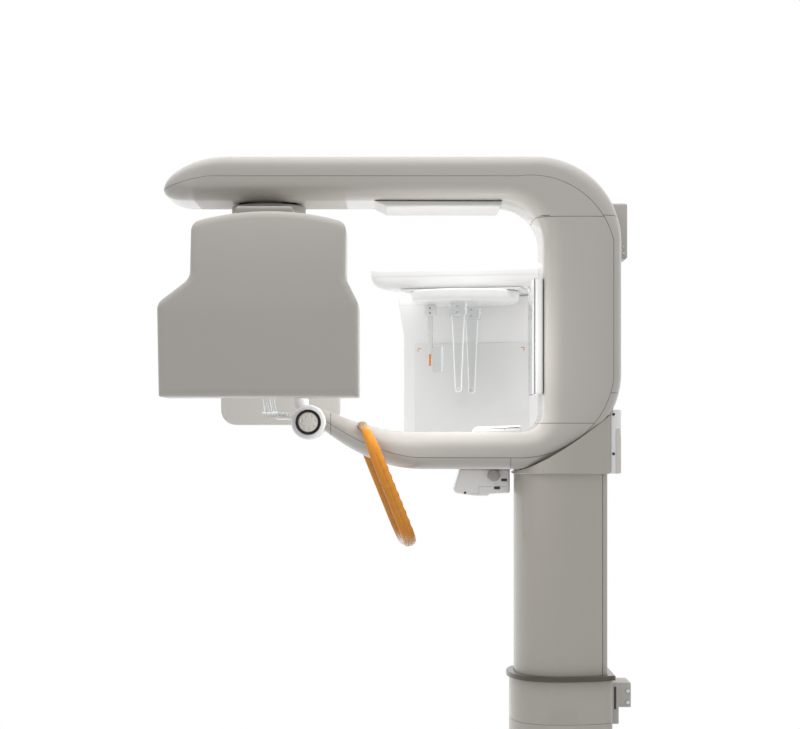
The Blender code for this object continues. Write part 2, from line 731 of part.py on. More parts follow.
def make_stage(deck):
    """The carriage that shifts along the arm and carries the rotor's bearing and drive."""
    for sign, side in ((-1, "near"), (1, "far")):
        y = sign * RAIL_HALF_Y
        add("stage_rail_" + side, block((RAIL_LOW_X, y - RAIL_WIDE / 2, deck + GAP),
                                        (RAIL_HIGH_X, y + RAIL_WIDE / 2, deck + RAIL_THICK)), "lift", "steel")
    low = deck + RAIL_THICK + GAP
    slab = block((ROTOR_X - STAGE_FRONT, -STAGE_HALF_Y, low),
                 (PINION_X + STAGE_BEHIND, STAGE_HALF_Y, low + STAGE_THICK))
    plate = add("rotor_stage", slab, "stage", "steel")
    bore = rod((ROTOR_X, 0, low - 0.01), (ROTOR_X, 0, low + 0.02), SHAFT_RADIUS + 0.0015)
    cut(plate, add_cutter("stage_bore", bore))
    seat = low + STAGE_THICK + GAP
    top = seat + BEARING_THICK
    turned("rotor_bearing", [(SHAFT_RADIUS + 0.0005, top), (BEARING_RADIUS, top), (BEARING_RADIUS, seat),
                             (SHAFT_RADIUS + 0.0005, seat)], "stage", "steel", (ROTOR_X, 0, 0), 32)
    add("rotor_motor", rod((PINION_X, 0, seat), (PINION_X, 0, top), MOTOR_RADIUS), "stage", "dark_steel")
    gear_low = top + 0.0007
    gear_high = gear_low + GEAR_THICK
    add("motor_pinion", rod((PINION_X, 0, gear_low), (PINION_X, 0, gear_high), PINION_RADIUS),
        "pinion", "steel")
    turned("rotor_gear", [(SHAFT_RADIUS + GAP, gear_high), (GEAR_RADIUS, gear_high), (GEAR_RADIUS, gear_low),
                          (SHAFT_RADIUS + GAP, gear_low)], "rotor", "steel", (ROTOR_X, 0, 0), 40)


def head_corners():
    crown_steps = 6
    middle = (NECK_LEFT + NECK_RIGHT) / 2
    half = (NECK_RIGHT - NECK_LEFT) / 2 - 0.012
    crown = []
    for i in range(1, crown_steps):
        share = 1 - 2 * i / crown_steps
        crown.append((middle + half * share, blend(HEAD_CORNER, HEAD_CROWN, 1 - share * share), 0))
    return [
        (HEAD_LEFT + 0.004, HEAD_BOTTOM, 0.005),
        (HEAD_RIGHT + 0.0015, HEAD_BOTTOM, 0.005),
        (HEAD_RIGHT, HEAD_SHOULDER, 0.035),
        (NECK_RIGHT, HEAD_NECK, 0.035),
        (NECK_RIGHT, HEAD_CORNER - 0.004, 0.026),
        *crown,
        (NECK_LEFT, HEAD_CORNER - 0.004, 0.026),
        (NECK_LEFT, HEAD_NECK, 0.035),
        (HEAD_LEFT, HEAD_SHOULDER, 0.030),
    ]


def standing(outline, y, shift_x):
    return [Vector((point.x + shift_x, y, point.y)) for point in outline]


def shell_rings(corners, shift_x, closed_y, rim_y, edge):
    """Rings of a casing half: a face with rounded edges at `closed_y`, open at `rim_y`."""
    way = 1 if rim_y > closed_y else -1

    def ring(distance, y):
        return standing(fillet(inset_corners(corners, distance)), y, shift_x)

    steps = 3
    rings = []
    for i in range(steps + 1):
        angle = math.pi / 2 * i / steps
        rings.append(ring(edge * (1 - math.sin(angle)), closed_y + way * edge * (1 - math.cos(angle))))
    rings.append(ring(0, rim_y))
    rings.append(ring(WALL, rim_y))
    rings.append(ring(WALL, closed_y + way * (edge + 0.0005)))
    rings.append(ring(WALL + edge * 0.7, closed_y + way * WALL))
    return rings


def make_rotor():
    base = BEAM_TOP + GAP
    turned("rotor_shaft", [(SHAFT_BORE, SHAFT_TOP), (SHAFT_RADIUS, SHAFT_TOP), (SHAFT_RADIUS, base),
                           (SHAFT_BORE, base)], "rotor", "steel", (ROTOR_X, 0, 0), 32)
    edge = 0.004
    turned("rotor_hub_cover", [(SHAFT_RADIUS + GAP, HUB_TOP), (HUB_RADIUS - edge, HUB_TOP),
                               (HUB_RADIUS, HUB_TOP - edge), (HUB_RADIUS, base), (SHAFT_RADIUS + GAP, base)],
           "rotor", "warm_white", (ROTOR_X, 0, 0), 40)
    hanger_low = HEAD_REAR_Y + 0.003
    beam = add("rotor_beam", block((ROTOR_X - BEAM_HALF_X, hanger_low, BEAM_UNDER),
                                   (ROTOR_X + BEAM_HALF_X, SENSOR_REAR_Y, BEAM_TOP)), "rotor", "warm_white")
    soften(beam, 0.008)
    strap = block((ROTOR_X - HANGER_HALF_X, hanger_low, HANGER_LOW),
                  (ROTOR_X + HANGER_HALF_X, hanger_low + HANGER_THICK, BEAM_UNDER - GAP))
    hanger = add("tube_head_hanger", strap, "rotor", "warm_white")
    soften(hanger, 0.005)

    casing = head_corners()
    rings = shell_rings(casing, ROTOR_X, HEAD_FRONT_Y, HEAD_SEAM_Y - GAP, HEAD_EDGE)
    add("tube_head_front_cover", loft(rings), "rotor", "warm_white")
    rings = shell_rings(casing, ROTOR_X, HEAD_REAR_Y, HEAD_SEAM_Y, HEAD_EDGE)
    rear = add("tube_head_rear_cover", loft(rings), "rotor", "warm_white")
    unit = add("x_ray_tube_unit", block((ROTOR_X - UNIT_HALF_X, HEAD_FRONT_Y + 0.020, UNIT_LOW),
                                        (ROTOR_X + UNIT_HALF_X, HEAD_SEAM_Y + 0.030, UNIT_HIGH)),
               "rotor", "dark_steel")
    soften(unit, 0.010)
    reach = UNIT_PAD_HALF_X
    pad = block((ROTOR_X - reach, HEAD_SEAM_Y + 0.020, UNIT_PAD_LOW),
                (ROTOR_X + reach, hanger_low - GAP, UNIT_PAD_HIGH))
    cut(unit, add_cutter("unit_pad", pad), operation="UNION")
    clear = 0.0004
    reach += clear
    opening = block((ROTOR_X - reach, HEAD_REAR_Y - 0.020, UNIT_PAD_LOW - clear),
                    (ROTOR_X + reach, HEAD_REAR_Y + 0.010, UNIT_PAD_HIGH + clear))
    beam_way = block((ROTOR_X - 0.012, HEAD_REAR_Y - 0.010, BEAM_LOW),
                     (ROTOR_X + 0.012, HEAD_REAR_Y + 0.010, BEAM_HIGH))
    cut(rear, add_cutter("unit_opening", opening), add_cutter("beam_way", beam_way))
    limiter = add("beam_limiter", block((ROTOR_X - LIMITER_HALF_X, HEAD_SEAM_Y + 0.0303, LIMITER_LOW),
                                        (ROTOR_X + LIMITER_HALF_X, HEAD_REAR_Y - 0.0045, LIMITER_HIGH)),
                  "rotor", "steel")
    slit = block((ROTOR_X - 0.002, HEAD_SEAM_Y + 0.020, BEAM_LOW + 0.005),
                 (ROTOR_X + 0.002, HEAD_REAR_Y + 0.010, BEAM_HIGH - 0.005))
    cut(limiter, add_cutter("limiter_slit", slit))

    half = SENSOR_HALF_X
    plate = [(-half, SENSOR_BOTTOM, SENSOR_CORNER), (half, SENSOR_BOTTOM, SENSOR_CORNER),
             (half, SENSOR_TOP, 0.015), (-half, SENSOR_TOP, 0.015)]
    shift = ROTOR_X + SENSOR_OFFSET_X
    rings = shell_rings(plate, shift, SENSOR_FRONT_Y, SENSOR_SEAM_Y, 0.006)
    front = add("sensor_front_cover", loft(rings), "rotor", "grey_cover")
    rings = shell_rings(plate, shift, SENSOR_REAR_Y, SENSOR_SEAM_Y + GAP, 0.008)
    back = add("sensor_rear_cover", loft(rings), "rotor", "warm_white")
    strap_y = (SENSOR_SEAM_Y - 0.0118, SENSOR_SEAM_Y + 0.001)
    reach = STRAP_HALF_X + clear
    slot = add_cutter("hanger_slot", block((ROTOR_X - reach, strap_y[0] - clear, SENSOR_TOP - 0.02),
                                           (ROTOR_X + reach, strap_y[1] + clear, SENSOR_TOP + 0.02)))
    cut(front, slot)
    cut(back, slot)
    add("sensor_hanger", block((ROTOR_X - STRAP_HALF_X, strap_y[0], STRAP_LOW),
                               (ROTOR_X + STRAP_HALF_X, strap_y[1], BEAM_UNDER - GAP)), "rotor", "dark_steel")
    add("sensor_panel", block((shift - PANEL_HALF_X, SENSOR_FRONT_Y + WALL + GAP, PANEL_LOW),
                              (shift + PANEL_HALF_X, strap_y[0] - GAP, PANEL_HIGH)), "rotor", "sensor")


def housing_shape(grow=0.0, longer=0.0):
    """The knob housing's round bar, or a cutter that clears it."""
    half = HOUSING_HALF_Y + longer
    return rod((KNOB_X, -half, KNOB_Z), (KNOB_X, half, KNOB_Z), HOUSING_RADIUS + grow, 32)


def make_temple(name, sign):
    """A clear support on the shelf: a foot that slides, and a blade that stands up from its end."""
    foot = SHELF_TOP + GAP
    outer = TEMPLE_HALF_Y + TEMPLE_THICK

    def bar(x, y, z):
        low_y, high_y = sorted((sign * y[0], sign * y[1]))
        return block((x[0], low_y, foot + z[0]), (x[1], high_y, foot + z[1]))

    arm = add(name + "_support", bar(TEMPLE_FOOT_X, (TEMPLE_FOOT_Y, outer), (0, 0.006)), name, "clear")
    link = bar((TEMPLE_FRONT_X, TEMPLE_FOOT_X[1] - 0.0065), (TEMPLE_HALF_Y - 0.008, outer), (0, 0.010))
    blade = bar((TEMPLE_FRONT_X, TEMPLE_BLADE_X), (TEMPLE_HALF_Y, outer), (0.001, TEMPLE_BLADE))
    cut(arm, add_cutter(name + "_link", link), add_cutter(name + "_blade", blade), operation="UNION")


def make_chin_support():
    housing = add("knob_housing", housing_shape(), "lift", "cool_white")
    soften(housing, 0.004)
    shelf = add_cutter("chin_shelf", block((SHELF_FRONT_X, -SHELF_HALF_Y, SHELF_TOP - SHELF_THICK),
                                           (KNOB_X, SHELF_HALF_Y, SHELF_TOP)))
    cut(housing, shelf, operation="UNION")

    knob_at = (KNOB_X, -HOUSING_HALF_Y - GAP, KNOB_Z)
    to_viewer = (math.pi / 2, 0, 0)
    face_radius = KNOB_RING_IN - GAP
    turned("knob_face", [(0, KNOB_DEPTH - 0.002), (KNOB_RING_IN - 0.004, KNOB_DEPTH - 0.003),
                         (face_radius, KNOB_DEPTH - 0.006), (face_radius, 0), (0, 0)],
           "knob", "cool_white", knob_at, 32, to_viewer)
    turned("knob_ring", [(KNOB_RING_IN, KNOB_DEPTH - 0.001), (KNOB_RING_OUT - 0.002, KNOB_DEPTH),
                         (KNOB_RING_OUT, KNOB_DEPTH - 0.003), (KNOB_RING_OUT, 0), (KNOB_RING_IN, 0)],
           "knob", "rubber", knob_at, 32, to_viewer)
    make_temple("temple_near", -1)
    make_temple("temple_far", 1)

    stem, flange = 0.011, 0.019
    step, low = POST_TOP - 0.028, POST_TOP - 0.054
    profile = [(0, POST_TOP), (stem, POST_TOP), (stem, step), (flange, step - 0.004), (flange, low), (0, low)]
    post = turned("chin_post", profile, "lift", "cool_white", (POST_X, 0, 0), 24)
    cut(post, add_cutter("post_seat", housing_shape(GAP)))
    base = POST_TOP + GAP
    cup = [oval(REST_X, 0, half_x, half_y, base + up) for up, half_x, half_y in
           ((0, 0.020, 0.026), (0.004, 0.030, 0.040), (0.006, 0.032, 0.044), (0.026, 0.034, 0.046),
            (0.026, 0.030, 0.042), (0.008, 0.027, 0.038))]
    add("chin_rest", loft(cup), "lift", "cool_white")


def oval(x, y, half_x, half_y, z, steps=20):
    turns = [2 * math.pi * i / steps for i in range(steps)]
    return [Vector((x + half_x * math.cos(t), y + half_y * math.sin(t), z)) for t in turns]


def handle_shape(grow=0.0):
    """A closed loop of oval bar in a slanted, skewed plane, slimmer where it crosses the arm."""
    tilt = math.radians(HANDLE_TILT)
    down = Vector((math.sin(tilt), 0, -math.cos(tilt)))
    normal = Vector((math.cos(tilt), 0, math.sin(tilt)))
    aside = Vector((-HANDLE_SKEW, 0, 0))
    top = Vector((HANDLE_TOP[0], 0, HANDLE_TOP[1]))
    corners = [(-HANDLE_HALF_Y, 0, HANDLE_CORNER), (HANDLE_HALF_Y, 0, HANDLE_CORNER),
               (HANDLE_HALF_Y, HANDLE_LENGTH, HANDLE_CORNER), (-HANDLE_HALF_Y, HANDLE_LENGTH, HANDLE_CORNER)]
    path = fillet(corners, 5)
    rings = []
    bar_steps = 10
    for i, here in enumerate(path):
        before, after = path[i - 1], path[(i + 1) % len(path)]
        tangent = ((here - before).normalized() + (after - here).normalized()).normalized()
        outward = Vector((tangent.y, -tangent.x))
        slim = blend(0.65, 1.0, smooth_step(here.y / 0.09))
        centre = top + down * here.y + SIDE * here.x + aside * (here.x + HANDLE_HALF_Y)
        across = down * outward.y + SIDE * outward.x
        ring = []
        for j in range(bar_steps):
            angle = 2 * math.pi * j / bar_steps
            ring.append(centre + normal * (GRIP_WIDE * slim + grow) * math.cos(angle)
                        + across * (GRIP_DEEP * slim + grow) * math.sin(angle))
        rings.append(ring)
    return loft(rings, closed=True)


def make_console():
    body = add("console_body", block(CONSOLE_LOW, CONSOLE_HIGH), "lift", "cool_white")
    soften(body, 0.007)
    x, face, z = STOP_AT
    bore = rod((x, face - 0.01, z), (x, face + STOP_REACH + 0.010, z), STOP_STEM + 0.0005, 16)
    cut(body, add_cutter("stop_bore", bore))
    top, edge = STOP_STAND + STOP_DEPTH, 0.004
    turned("emergency_stop", [(0, top), (STOP_RADIUS - edge, top), (STOP_RADIUS, top - edge),
                              (STOP_RADIUS, STOP_STAND), (STOP_STEM, STOP_STAND), (STOP_STEM, -STOP_REACH),
                              (0, -STOP_REACH)], "stop", "rubber", STOP_AT, 24, (math.pi / 2, 0, 0))
    clear = 0.0004
    half_x, half_z = KEY_HALF
    for name, (x, level) in zip(("key_up", "key_down"), KEY_PLACES):
        low = Vector((x - half_x, face - 0.0035, level - half_z))
        high = Vector((x + half_x, face + 0.008, level + half_z))
        add("height_" + name, block(low, high), name, "rubber")
        spare = Vector((clear, 0, clear))
        pocket = block(low - spare, high + spare + Vector((0, 0.003, 0)))
        cut(body, add_cutter(name + "_pocket", pocket))


def ceph_point(a, b, z):
    """A place by the cephalometric head: `a` across its beam, `b` along it."""
    turn = math.radians(CEPH_TURN)
    c, s = math.cos(turn), math.sin(turn)
    return Vector((CEPH_X + a * c - b * s, CEPH_Y + a * s + b * c, z))


def ceph_block(low, high):
    bm = block(low, high)
    place = Matrix.Translation((CEPH_X, CEPH_Y, 0)) @ Matrix.Rotation(math.radians(CEPH_TURN), 4, "Z")
    bmesh.ops.transform(bm, matrix=place, verts=bm.verts)
    return bm


def ceph_path():
    """Stations down the arm: point, sideways direction, half width, underside height."""
    steps = 7
    heading = ceph_point(-1, 0, 0) - ceph_point(0, 0, 0)
    corner = ceph_point((CEPH_ARM_X - CEPH_X) / math.cos(math.radians(CEPH_TURN)), 0, 0)
    turn = math.radians(90 + CEPH_TURN)
    reach = CEPH_BEND * math.tan(turn / 2)
    start = Vector((CEPH_ARM_X, corner.y - reach, 0))
    hub = start + Vector((-CEPH_BEND, 0, 0))
    stations = [(Vector((CEPH_ARM_X, CEPH_ARM_START, 0)), Vector((1, 0, 0)), CEPH_ARM_HALF, CEPH_ARM_UNDER)]
    for i in range(steps + 1):
        angle = turn * i / steps
        out = Vector((math.cos(angle), math.sin(angle), 0))
        half = blend(CEPH_ARM_HALF, CEPH_END_HALF, i / steps * 0.6)
        stations.append((hub + out * CEPH_BEND, out, half, CEPH_ARM_UNDER))
    side = Vector((-heading.y, heading.x, 0)) * -1
    tip = ((0.242, 1, 0), (0.092, 1, 0), (0.037, 0.94, 0.006), (0.012, 0.78, 0.020), (0, 0.55, 0.036))
    for back, share, rise in tip:
        point = ceph_point(CEPH_ARM_END + back, 0, 0)
        stations.append((point, side, CEPH_END_HALF * share, CEPH_ARM_UNDER + rise))
    return stations


def ceph_loft(stations, grow=0.0):
    rings = []
    for point, side, half, under in stations:
        low = point + Vector((0, 0, under))
        high = point + Vector((0, 0, CEPH_ARM_TOP))
        rings.append(section(low, high, side, half, spread(0, 1, 6), grow))
    return loft(rings)


def make_ceph(whole):
    seat = block((CEPH_ARM_X - 0.045, -0.02, ROOT_LOW), (ROOT_OUT_X, CEPH_ARM_START - GAP, ROOT_HIGH))
    root = add("ceph_arm_root", seat, "lift", "grey_cover")
    cut(root, whole)
    path = ceph_path()
    cover = add("ceph_arm_cover", ceph_loft(path), "lift", "cool_white")
    inside = [(path[0][0] - SIDE * 0.01, *path[0][1:])] + path[1:-2]
    cut(cover, add_cutter("ceph_arm_void", ceph_loft(inside, -WALL)))
    sheet = ceph_block((-PLATE_HALF, PLATE_NEAR, DISH_TOP + 0.0005),
                       (PLATE_HALF, DETECTOR_FAR, CEPH_ARM_UNDER - GAP))
    plate = add("ceph_carrier_plate", sheet, "lift", "steel")
    soften(plate, 0.001, 1)

    left, right, shoulder = DETECTOR_LEFT - DETECTOR_FLARE, DETECTOR_RIGHT + DETECTOR_FLARE, DISH_TOP - 0.025
    corners = [(DETECTOR_LEFT, DETECTOR_BOTTOM, 0.02), (DETECTOR_RIGHT, DETECTOR_BOTTOM, 0.02),
               (DETECTOR_RIGHT, DETECTOR_WAIST, 0.05), (right, shoulder, 0), (right, DISH_TOP, 0),
               (left, DISH_TOP, 0), (left, shoulder, 0), (DETECTOR_LEFT, DETECTOR_WAIST, 0.05)]
    outline = fillet(corners)
    rings = [[ceph_point(p.x, b, p.y) for p in outline] for b in (DETECTOR_NEAR, DETECTOR_FAR)]
    detector = add("ceph_detector", loft(rings), "lift", "cool_white")
    soften(detector, 0.004, 2, 60)
    left, low, right = WINDOW_MARGIN
    pane = ceph_block((DETECTOR_LEFT + left, DETECTOR_NEAR - 0.0033, DETECTOR_BOTTOM + low),
                      (DETECTOR_RIGHT - right, DETECTOR_NEAR - GAP, WINDOW_HIGH))
    add("ceph_detector_window", pane, "lift", "clear")

    edge = 0.005
    turned("ceph_dish", [(0, DISH_TOP), (DISH_RADIUS - edge, DISH_TOP), (DISH_RADIUS, DISH_TOP - edge),
                         (DISH_RADIUS, DISH_UNDER + 0.012), (DISH_RADIUS - 0.018, DISH_UNDER + 0.001),
                         (0, DISH_UNDER)], "ceph_turn", "cool_white", (CEPH_X, CEPH_Y, 0), 40)
    hung, blade = DISH_UNDER - GAP, HALF_BLADE
    for sign, name in ((-1, "ear_near"), (1, "ear_far")):
        root_b, tip_b = sign * EAR_OFFSET, sign * (EAR_OFFSET - EAR_PLUG)
        rings = []
        for z, half_a, half_b in (
            (hung, EAR_HALF, 3 * blade), (EAR_HEAD_LOW, EAR_HALF, 3 * blade),
            (EAR_HEAD_LOW - 0.001, EAR_HALF - 0.001, blade), (EAR_AXIS_Z + 0.006, 0.0115, blade),
            (EAR_AXIS_Z - 0.006, 0.0095, blade), (EAR_AXIS_Z - 0.012, 0.004, blade),
        ):
            corners = ((-half_a, -half_b), (half_a, -half_b), (half_a, half_b), (-half_a, half_b))
            rings.append([ceph_point(a, root_b + c, z) for a, c in corners])
        arm = add(name + "_arm", loft(rings), name, "clear")
        plug = rod(ceph_point(0, root_b, EAR_AXIS_Z), ceph_point(0, tip_b, EAR_AXIS_Z), 0.005, 12)
        cut(arm, add_cutter(name + "_plug", plug), operation="UNION")
    rings = []
    back = NASION_FACE - 0.016
    for z, low, high, deep in (
        (hung, NASION_LEFT, NASION_RIGHT, 3 * blade), (NASION_HEAD_LOW, NASION_LEFT, NASION_RIGHT, 3 * blade),
        (NASION_HEAD_LOW - 0.001, back, NASION_FACE, blade), (NASION_LOW, back, NASION_FACE, blade),
    ):
        corners = ((low, -deep), (high, -deep), (high, deep), (low, deep))
        rings.append([ceph_point(a, c, z) for a, c in corners])
    add("nasion_arm", loft(rings), "nasion", "cool_white")
    pad = add("nasion_pad", ceph_block((NASION_FACE + GAP, -0.010, NASION_LOW - 0.043),
                                       (NASION_FACE + 0.032, 0.010, NASION_LOW + 0.037)), "nasion", "clear")
    soften(pad, 0.004)


def main():
    whole = frame_whole("frame_clearance", FRAME_CLEAR)
    make_root()
    make_column_head(whole)
    deck = make_frame()
    make_stage(deck)
    make_rotor()
    make_chin_support()
    add("patient_handle", handle_shape(), "lift", "amber")
    make_console()
    make_ceph(whole)


main()
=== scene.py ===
import math

import bmesh
import bpy
from mathutils import Matrix, Vector


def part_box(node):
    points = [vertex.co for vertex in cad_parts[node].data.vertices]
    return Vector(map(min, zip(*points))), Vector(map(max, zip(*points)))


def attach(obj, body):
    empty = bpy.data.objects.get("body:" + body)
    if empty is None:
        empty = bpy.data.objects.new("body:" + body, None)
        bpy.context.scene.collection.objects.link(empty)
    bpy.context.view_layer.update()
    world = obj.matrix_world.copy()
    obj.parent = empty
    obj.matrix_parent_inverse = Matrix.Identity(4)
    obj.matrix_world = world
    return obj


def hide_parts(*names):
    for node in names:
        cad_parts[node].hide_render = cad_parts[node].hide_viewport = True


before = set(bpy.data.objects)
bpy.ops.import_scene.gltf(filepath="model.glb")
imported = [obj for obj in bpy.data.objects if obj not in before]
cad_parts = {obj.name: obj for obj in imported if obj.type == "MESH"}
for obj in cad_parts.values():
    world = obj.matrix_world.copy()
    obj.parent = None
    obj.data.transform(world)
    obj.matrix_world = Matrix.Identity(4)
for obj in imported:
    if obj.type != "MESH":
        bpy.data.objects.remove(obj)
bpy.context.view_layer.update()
print("frame in,", len(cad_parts), "CAD nodes")

# linear colours
tint = {
    "cover": (0.400, 0.378, 0.350),
    "column": (0.372, 0.350, 0.312),
    "pearl": (0.780, 0.780, 0.768),
    "milk": (0.840, 0.840, 0.835),
    "slate": (0.440, 0.424, 0.395),
    # painted shade: a darker grey for the hub cover and rotor beam, which lie in the shade under the arm
    "shade": (0.330, 0.312, 0.292),
    "sensor": (0.620, 0.600, 0.568),
    "belly": (0.580, 0.575, 0.565),
    "white": (0.930, 0.930, 0.922),
    "window": (0.840, 0.844, 0.840),
    "knob": (0.560, 0.545, 0.505),
    "bronze": (0.050, 0.039, 0.021),
    "amber": (0.640, 0.245, 0.016),
    "steel": (0.560, 0.570, 0.590),
    "iron": (0.160, 0.165, 0.175),
    "rubber": (0.018, 0.018, 0.019),
    "ink": (0.030, 0.032, 0.036),
    "orange": (0.820, 0.260, 0.020),
    "acrylic": (0.930, 0.955, 0.960),
    "silver": (0.920, 0.930, 0.940),
    "floor": (0.860, 0.860, 0.860),
}

finishes = {}


# small makers that every piece uses
def ride(obj, body, finishName, replaced=()):
    obj.data.materials.clear()
    obj.data.materials.append(finishes[finishName])
    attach(obj, body)
    if replaced:
        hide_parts(*replaced)
    return obj


def meshFrom(name, bm, sharp=34):
    bmesh.ops.recalc_face_normals(bm, faces=bm.faces)
    mesh = bpy.data.meshes.new(name)
    bm.to_mesh(mesh)
    bm.free()
    mesh.shade_smooth()
    mesh.set_sharp_from_angle(angle=math.radians(sharp))
    obj = bpy.data.objects.new(name, mesh)
    bpy.context.scene.collection.objects.link(obj)
    return obj


def applied(obj):
    # the modifiers' result becomes the mesh
    graph = bpy.context.evaluated_depsgraph_get()
    mesh = bpy.data.meshes.new_from_object(obj.evaluated_get(graph))
    obj.modifiers.clear()
    obj.data = mesh
    return obj


def carve(obj, *cutters, join=False, sharp=34):
    for cutter in cutters:
        step = obj.modifiers.new("carve", "BOOLEAN")
        step.operation = "UNION" if join else "DIFFERENCE"
        step.object = cutter
        step.solver = "EXACT"
    bpy.context.view_layer.update()
    applied(obj)
    for cutter in set(cutters):
        bpy.data.objects.remove(cutter)
    obj.data.shade_smooth()
    obj.data.set_sharp_from_angle(angle=math.radians(sharp))
    return obj


def rounded(obj, width, segments=3, angle=35):
    step = obj.modifiers.new("rounding", "BEVEL")
    step.width = width
    step.segments = segments
    step.limit_method = "ANGLE"
    step.angle_limit = math.radians(angle)
    step.harden_normals = False
    bpy.context.view_layer.update()
    applied(obj)
    obj.data.shade_smooth()
    obj.data.set_sharp_from_angle(angle=math.radians(30))
    return obj


def skinned(rings, closed=False):
    bm = bmesh.new()
    rows = [[bm.verts.new(p) for p in ring] for ring in rings]
    count = len(rows[0])
    pairs = list(zip(rows, rows[1:]))
    if closed:
        pairs.append((rows[-1], rows[0]))
    for one, two in pairs:
        for i in range(count):
            j = (i + 1) % count
            bm.faces.new((one[i], one[j], two[j], two[i]))
    if not closed:
        bm.faces.new(rows[0])
        bm.faces.new(rows[-1])
    return bm


def slab(low, high):
    bm = bmesh.new()
    low, high = Vector(low), Vector(high)
    scale = Matrix.Diagonal((*(high - low), 1))
    bmesh.ops.create_cube(bm, size=1, matrix=Matrix.Translation((low + high) / 2) @ scale)
    return bm


def slabPiece(name, low, high, width=0.002, segments=3):
    return rounded(meshFrom(name, slab(low, high)), width, segments)


def boxPiece(name, node, edge, segments, body, finishName):
    # a rounded box the size of the CAD node that it stands for
    return ride(slabPiece(name, *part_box(node), edge, segments), body, finishName, [node])


def barBetween(start, end, radius, sides=32, endRadius=None):
    bm = bmesh.new()
    start, end = Vector(start), Vector(end)
    along = end - start
    place = facing((start + end) / 2, along)
    bmesh.ops.create_cone(bm, cap_ends=True, segments=sides, radius1=radius,
                          radius2=radius
                          if endRadius is None else endRadius, depth=along.length, matrix=place)
    return bm


def spun(profile, place=None, sides=96):
    # a profile of (radius, height) turned about Z, then put in place
    bm = bmesh.new()
    rows = []
    for radius, height in profile:
        if radius < 1e-6:
            rows.append([bm.verts.new((0, 0, height))])
        else:
            rows.append([bm.verts.new((radius * math.cos(2 * math.pi * i / sides),
                                       radius * math.sin(2 * math.pi * i / sides), height))
                         for i in range(sides)])
    pairs = list(zip(rows, rows[1:]))
    if len(rows[0]) > 1 and len(rows[-1]) > 1:
        pairs.append((rows[-1], rows[0]))
    for one, two in pairs:
        for i in range(sides):
            j = (i + 1) % sides
            corners = [one[i % len(one)], one[j % len(one)], two[j % len(two)], two[i % len(two)]]
            bm.faces.new(list(dict.fromkeys(corners)))
    if place is not None:
        bmesh.ops.transform(bm, matrix=place, verts=bm.verts)
    return bm


def mixed(one, two, share):
    return one + (two - one) * share


def quarter(steps, first=0):
    # the angles of a quarter turn in equal steps
    return [math.pi / 2 * i / steps for i in range(first, steps + 1)]


def eased(value):
    value = min(max(value, 0.0), 1.0)
    return value * value * (3 - 2 * value)


def filleted(corners, steps=10):
    # an outline from (x, y, radius) corners
    outline = []
    count = len(corners)
    for i, (x, y, radius) in enumerate(corners):
        here = Vector((x, y))
        before = (Vector(corners[i - 1][:2]) - here).normalized()
        after = (Vector(corners[(i + 1) % count][:2]) - here).normalized()
        if radius == 0:
            outline.append(here)
            continue
        half = before.angle(after) / 2
        centre = here + (before + after).normalized() * radius / math.sin(half)
        first = here + before * radius / math.tan(half) - centre
        turn = (math.pi - 2 * half) * (1 if before.cross(after) < 0 else -1)
        for step in range(steps + 1):
            outline.append(centre + first @ Matrix.Rotation(-turn * step / steps, 2))
    return outline


def shrunk(outline, distance):
    moved = []
    count = len(outline)
    for i, here in enumerate(outline):
        one = (here - outline[i - 1]).normalized()
        two = (outline[(i + 1) % count] - here).normalized()
        normal = (Vector((-one.y, one.x)) + Vector((-two.y, two.x))).normalized()
        reach = max(normal.dot(Vector((-two.y, two.x))), 0.5)
        moved.append(here + normal * distance / reach)
    return moved


def plateRings(outline, rim, near, far, place, steps=4, share=1.0):
    # the rings of a flat plate with rounded edges, from its near face to its far one
    turns = [(near, 1, a) for a in quarter(steps)] + [(far, -1, a) for a in reversed(quarter(steps))]
    return [[place(p.x, face + way * rim * (1 - math.cos(a)), p.y)
             for p in shrunk(outline, rim * (1 - math.sin(a)) * share)] for face, way, a in turns]


def drawnIn(corners, distance, steps=9):
    # the rounded outline of these corners, moved inwards; each arc stays about its own centre
    moved = shrunk([Vector(corner[:2]) for corner in corners], distance)
    inner = []
    for i, (x, y, radius) in enumerate(corners):
        here = Vector((x, y))
        bend = (here - Vector(corners[i - 1][:2])).cross(Vector(corners[(i + 1) % len(corners)][:2]) - here)
        kept = max(radius - math.copysign(distance, bend), 0.0008) if radius else 0
        inner.append((moved[i].x, moved[i].y, kept))
    return filleted(inner, steps)


def bead(name, path, across, thick):
    # a thin square strip along a path, with its depth along "across"
    rings = []
    deep = across.normalized() * thick / 2
    for i, here in enumerate(path):
        along = path[min(i + 1, len(path) - 1)] - path[max(i - 1, 0)]
        side = along.cross(across).normalized() * thick / 2
        rings.append([here - side - deep, here + side - deep, here + side + deep, here - side + deep])
    return meshFrom(name, skinned(rings))


def facing(at, outward):
    # a place whose Z points outward, for screws and knobs
    return Matrix.Translation(Vector(at)) @ Vector(outward).to_track_quat("Z", "Y").to_matrix().to_4x4()


def screwHead(name, at, outward, radius, body, finish, height=0.0016):
    # a pan head with a hex socket
    profile = [(0, height * 0.2), (radius * 0.42, height * 0.2), (radius * 0.45, height),
               (radius * 0.82, height * 0.95), (radius, height * 0.45), (radius, -0.0004), (0, -0.0004)]
    obj = meshFrom(name, spun(profile, facing(at, outward), 36), 30)
    return ride(obj, body, finish)


# finishes
def newFinish(name):
    made = bpy.data.materials.new(name)
    made.use_nodes = True
    return made, made.node_tree, made.node_tree.nodes["Principled BSDF"]


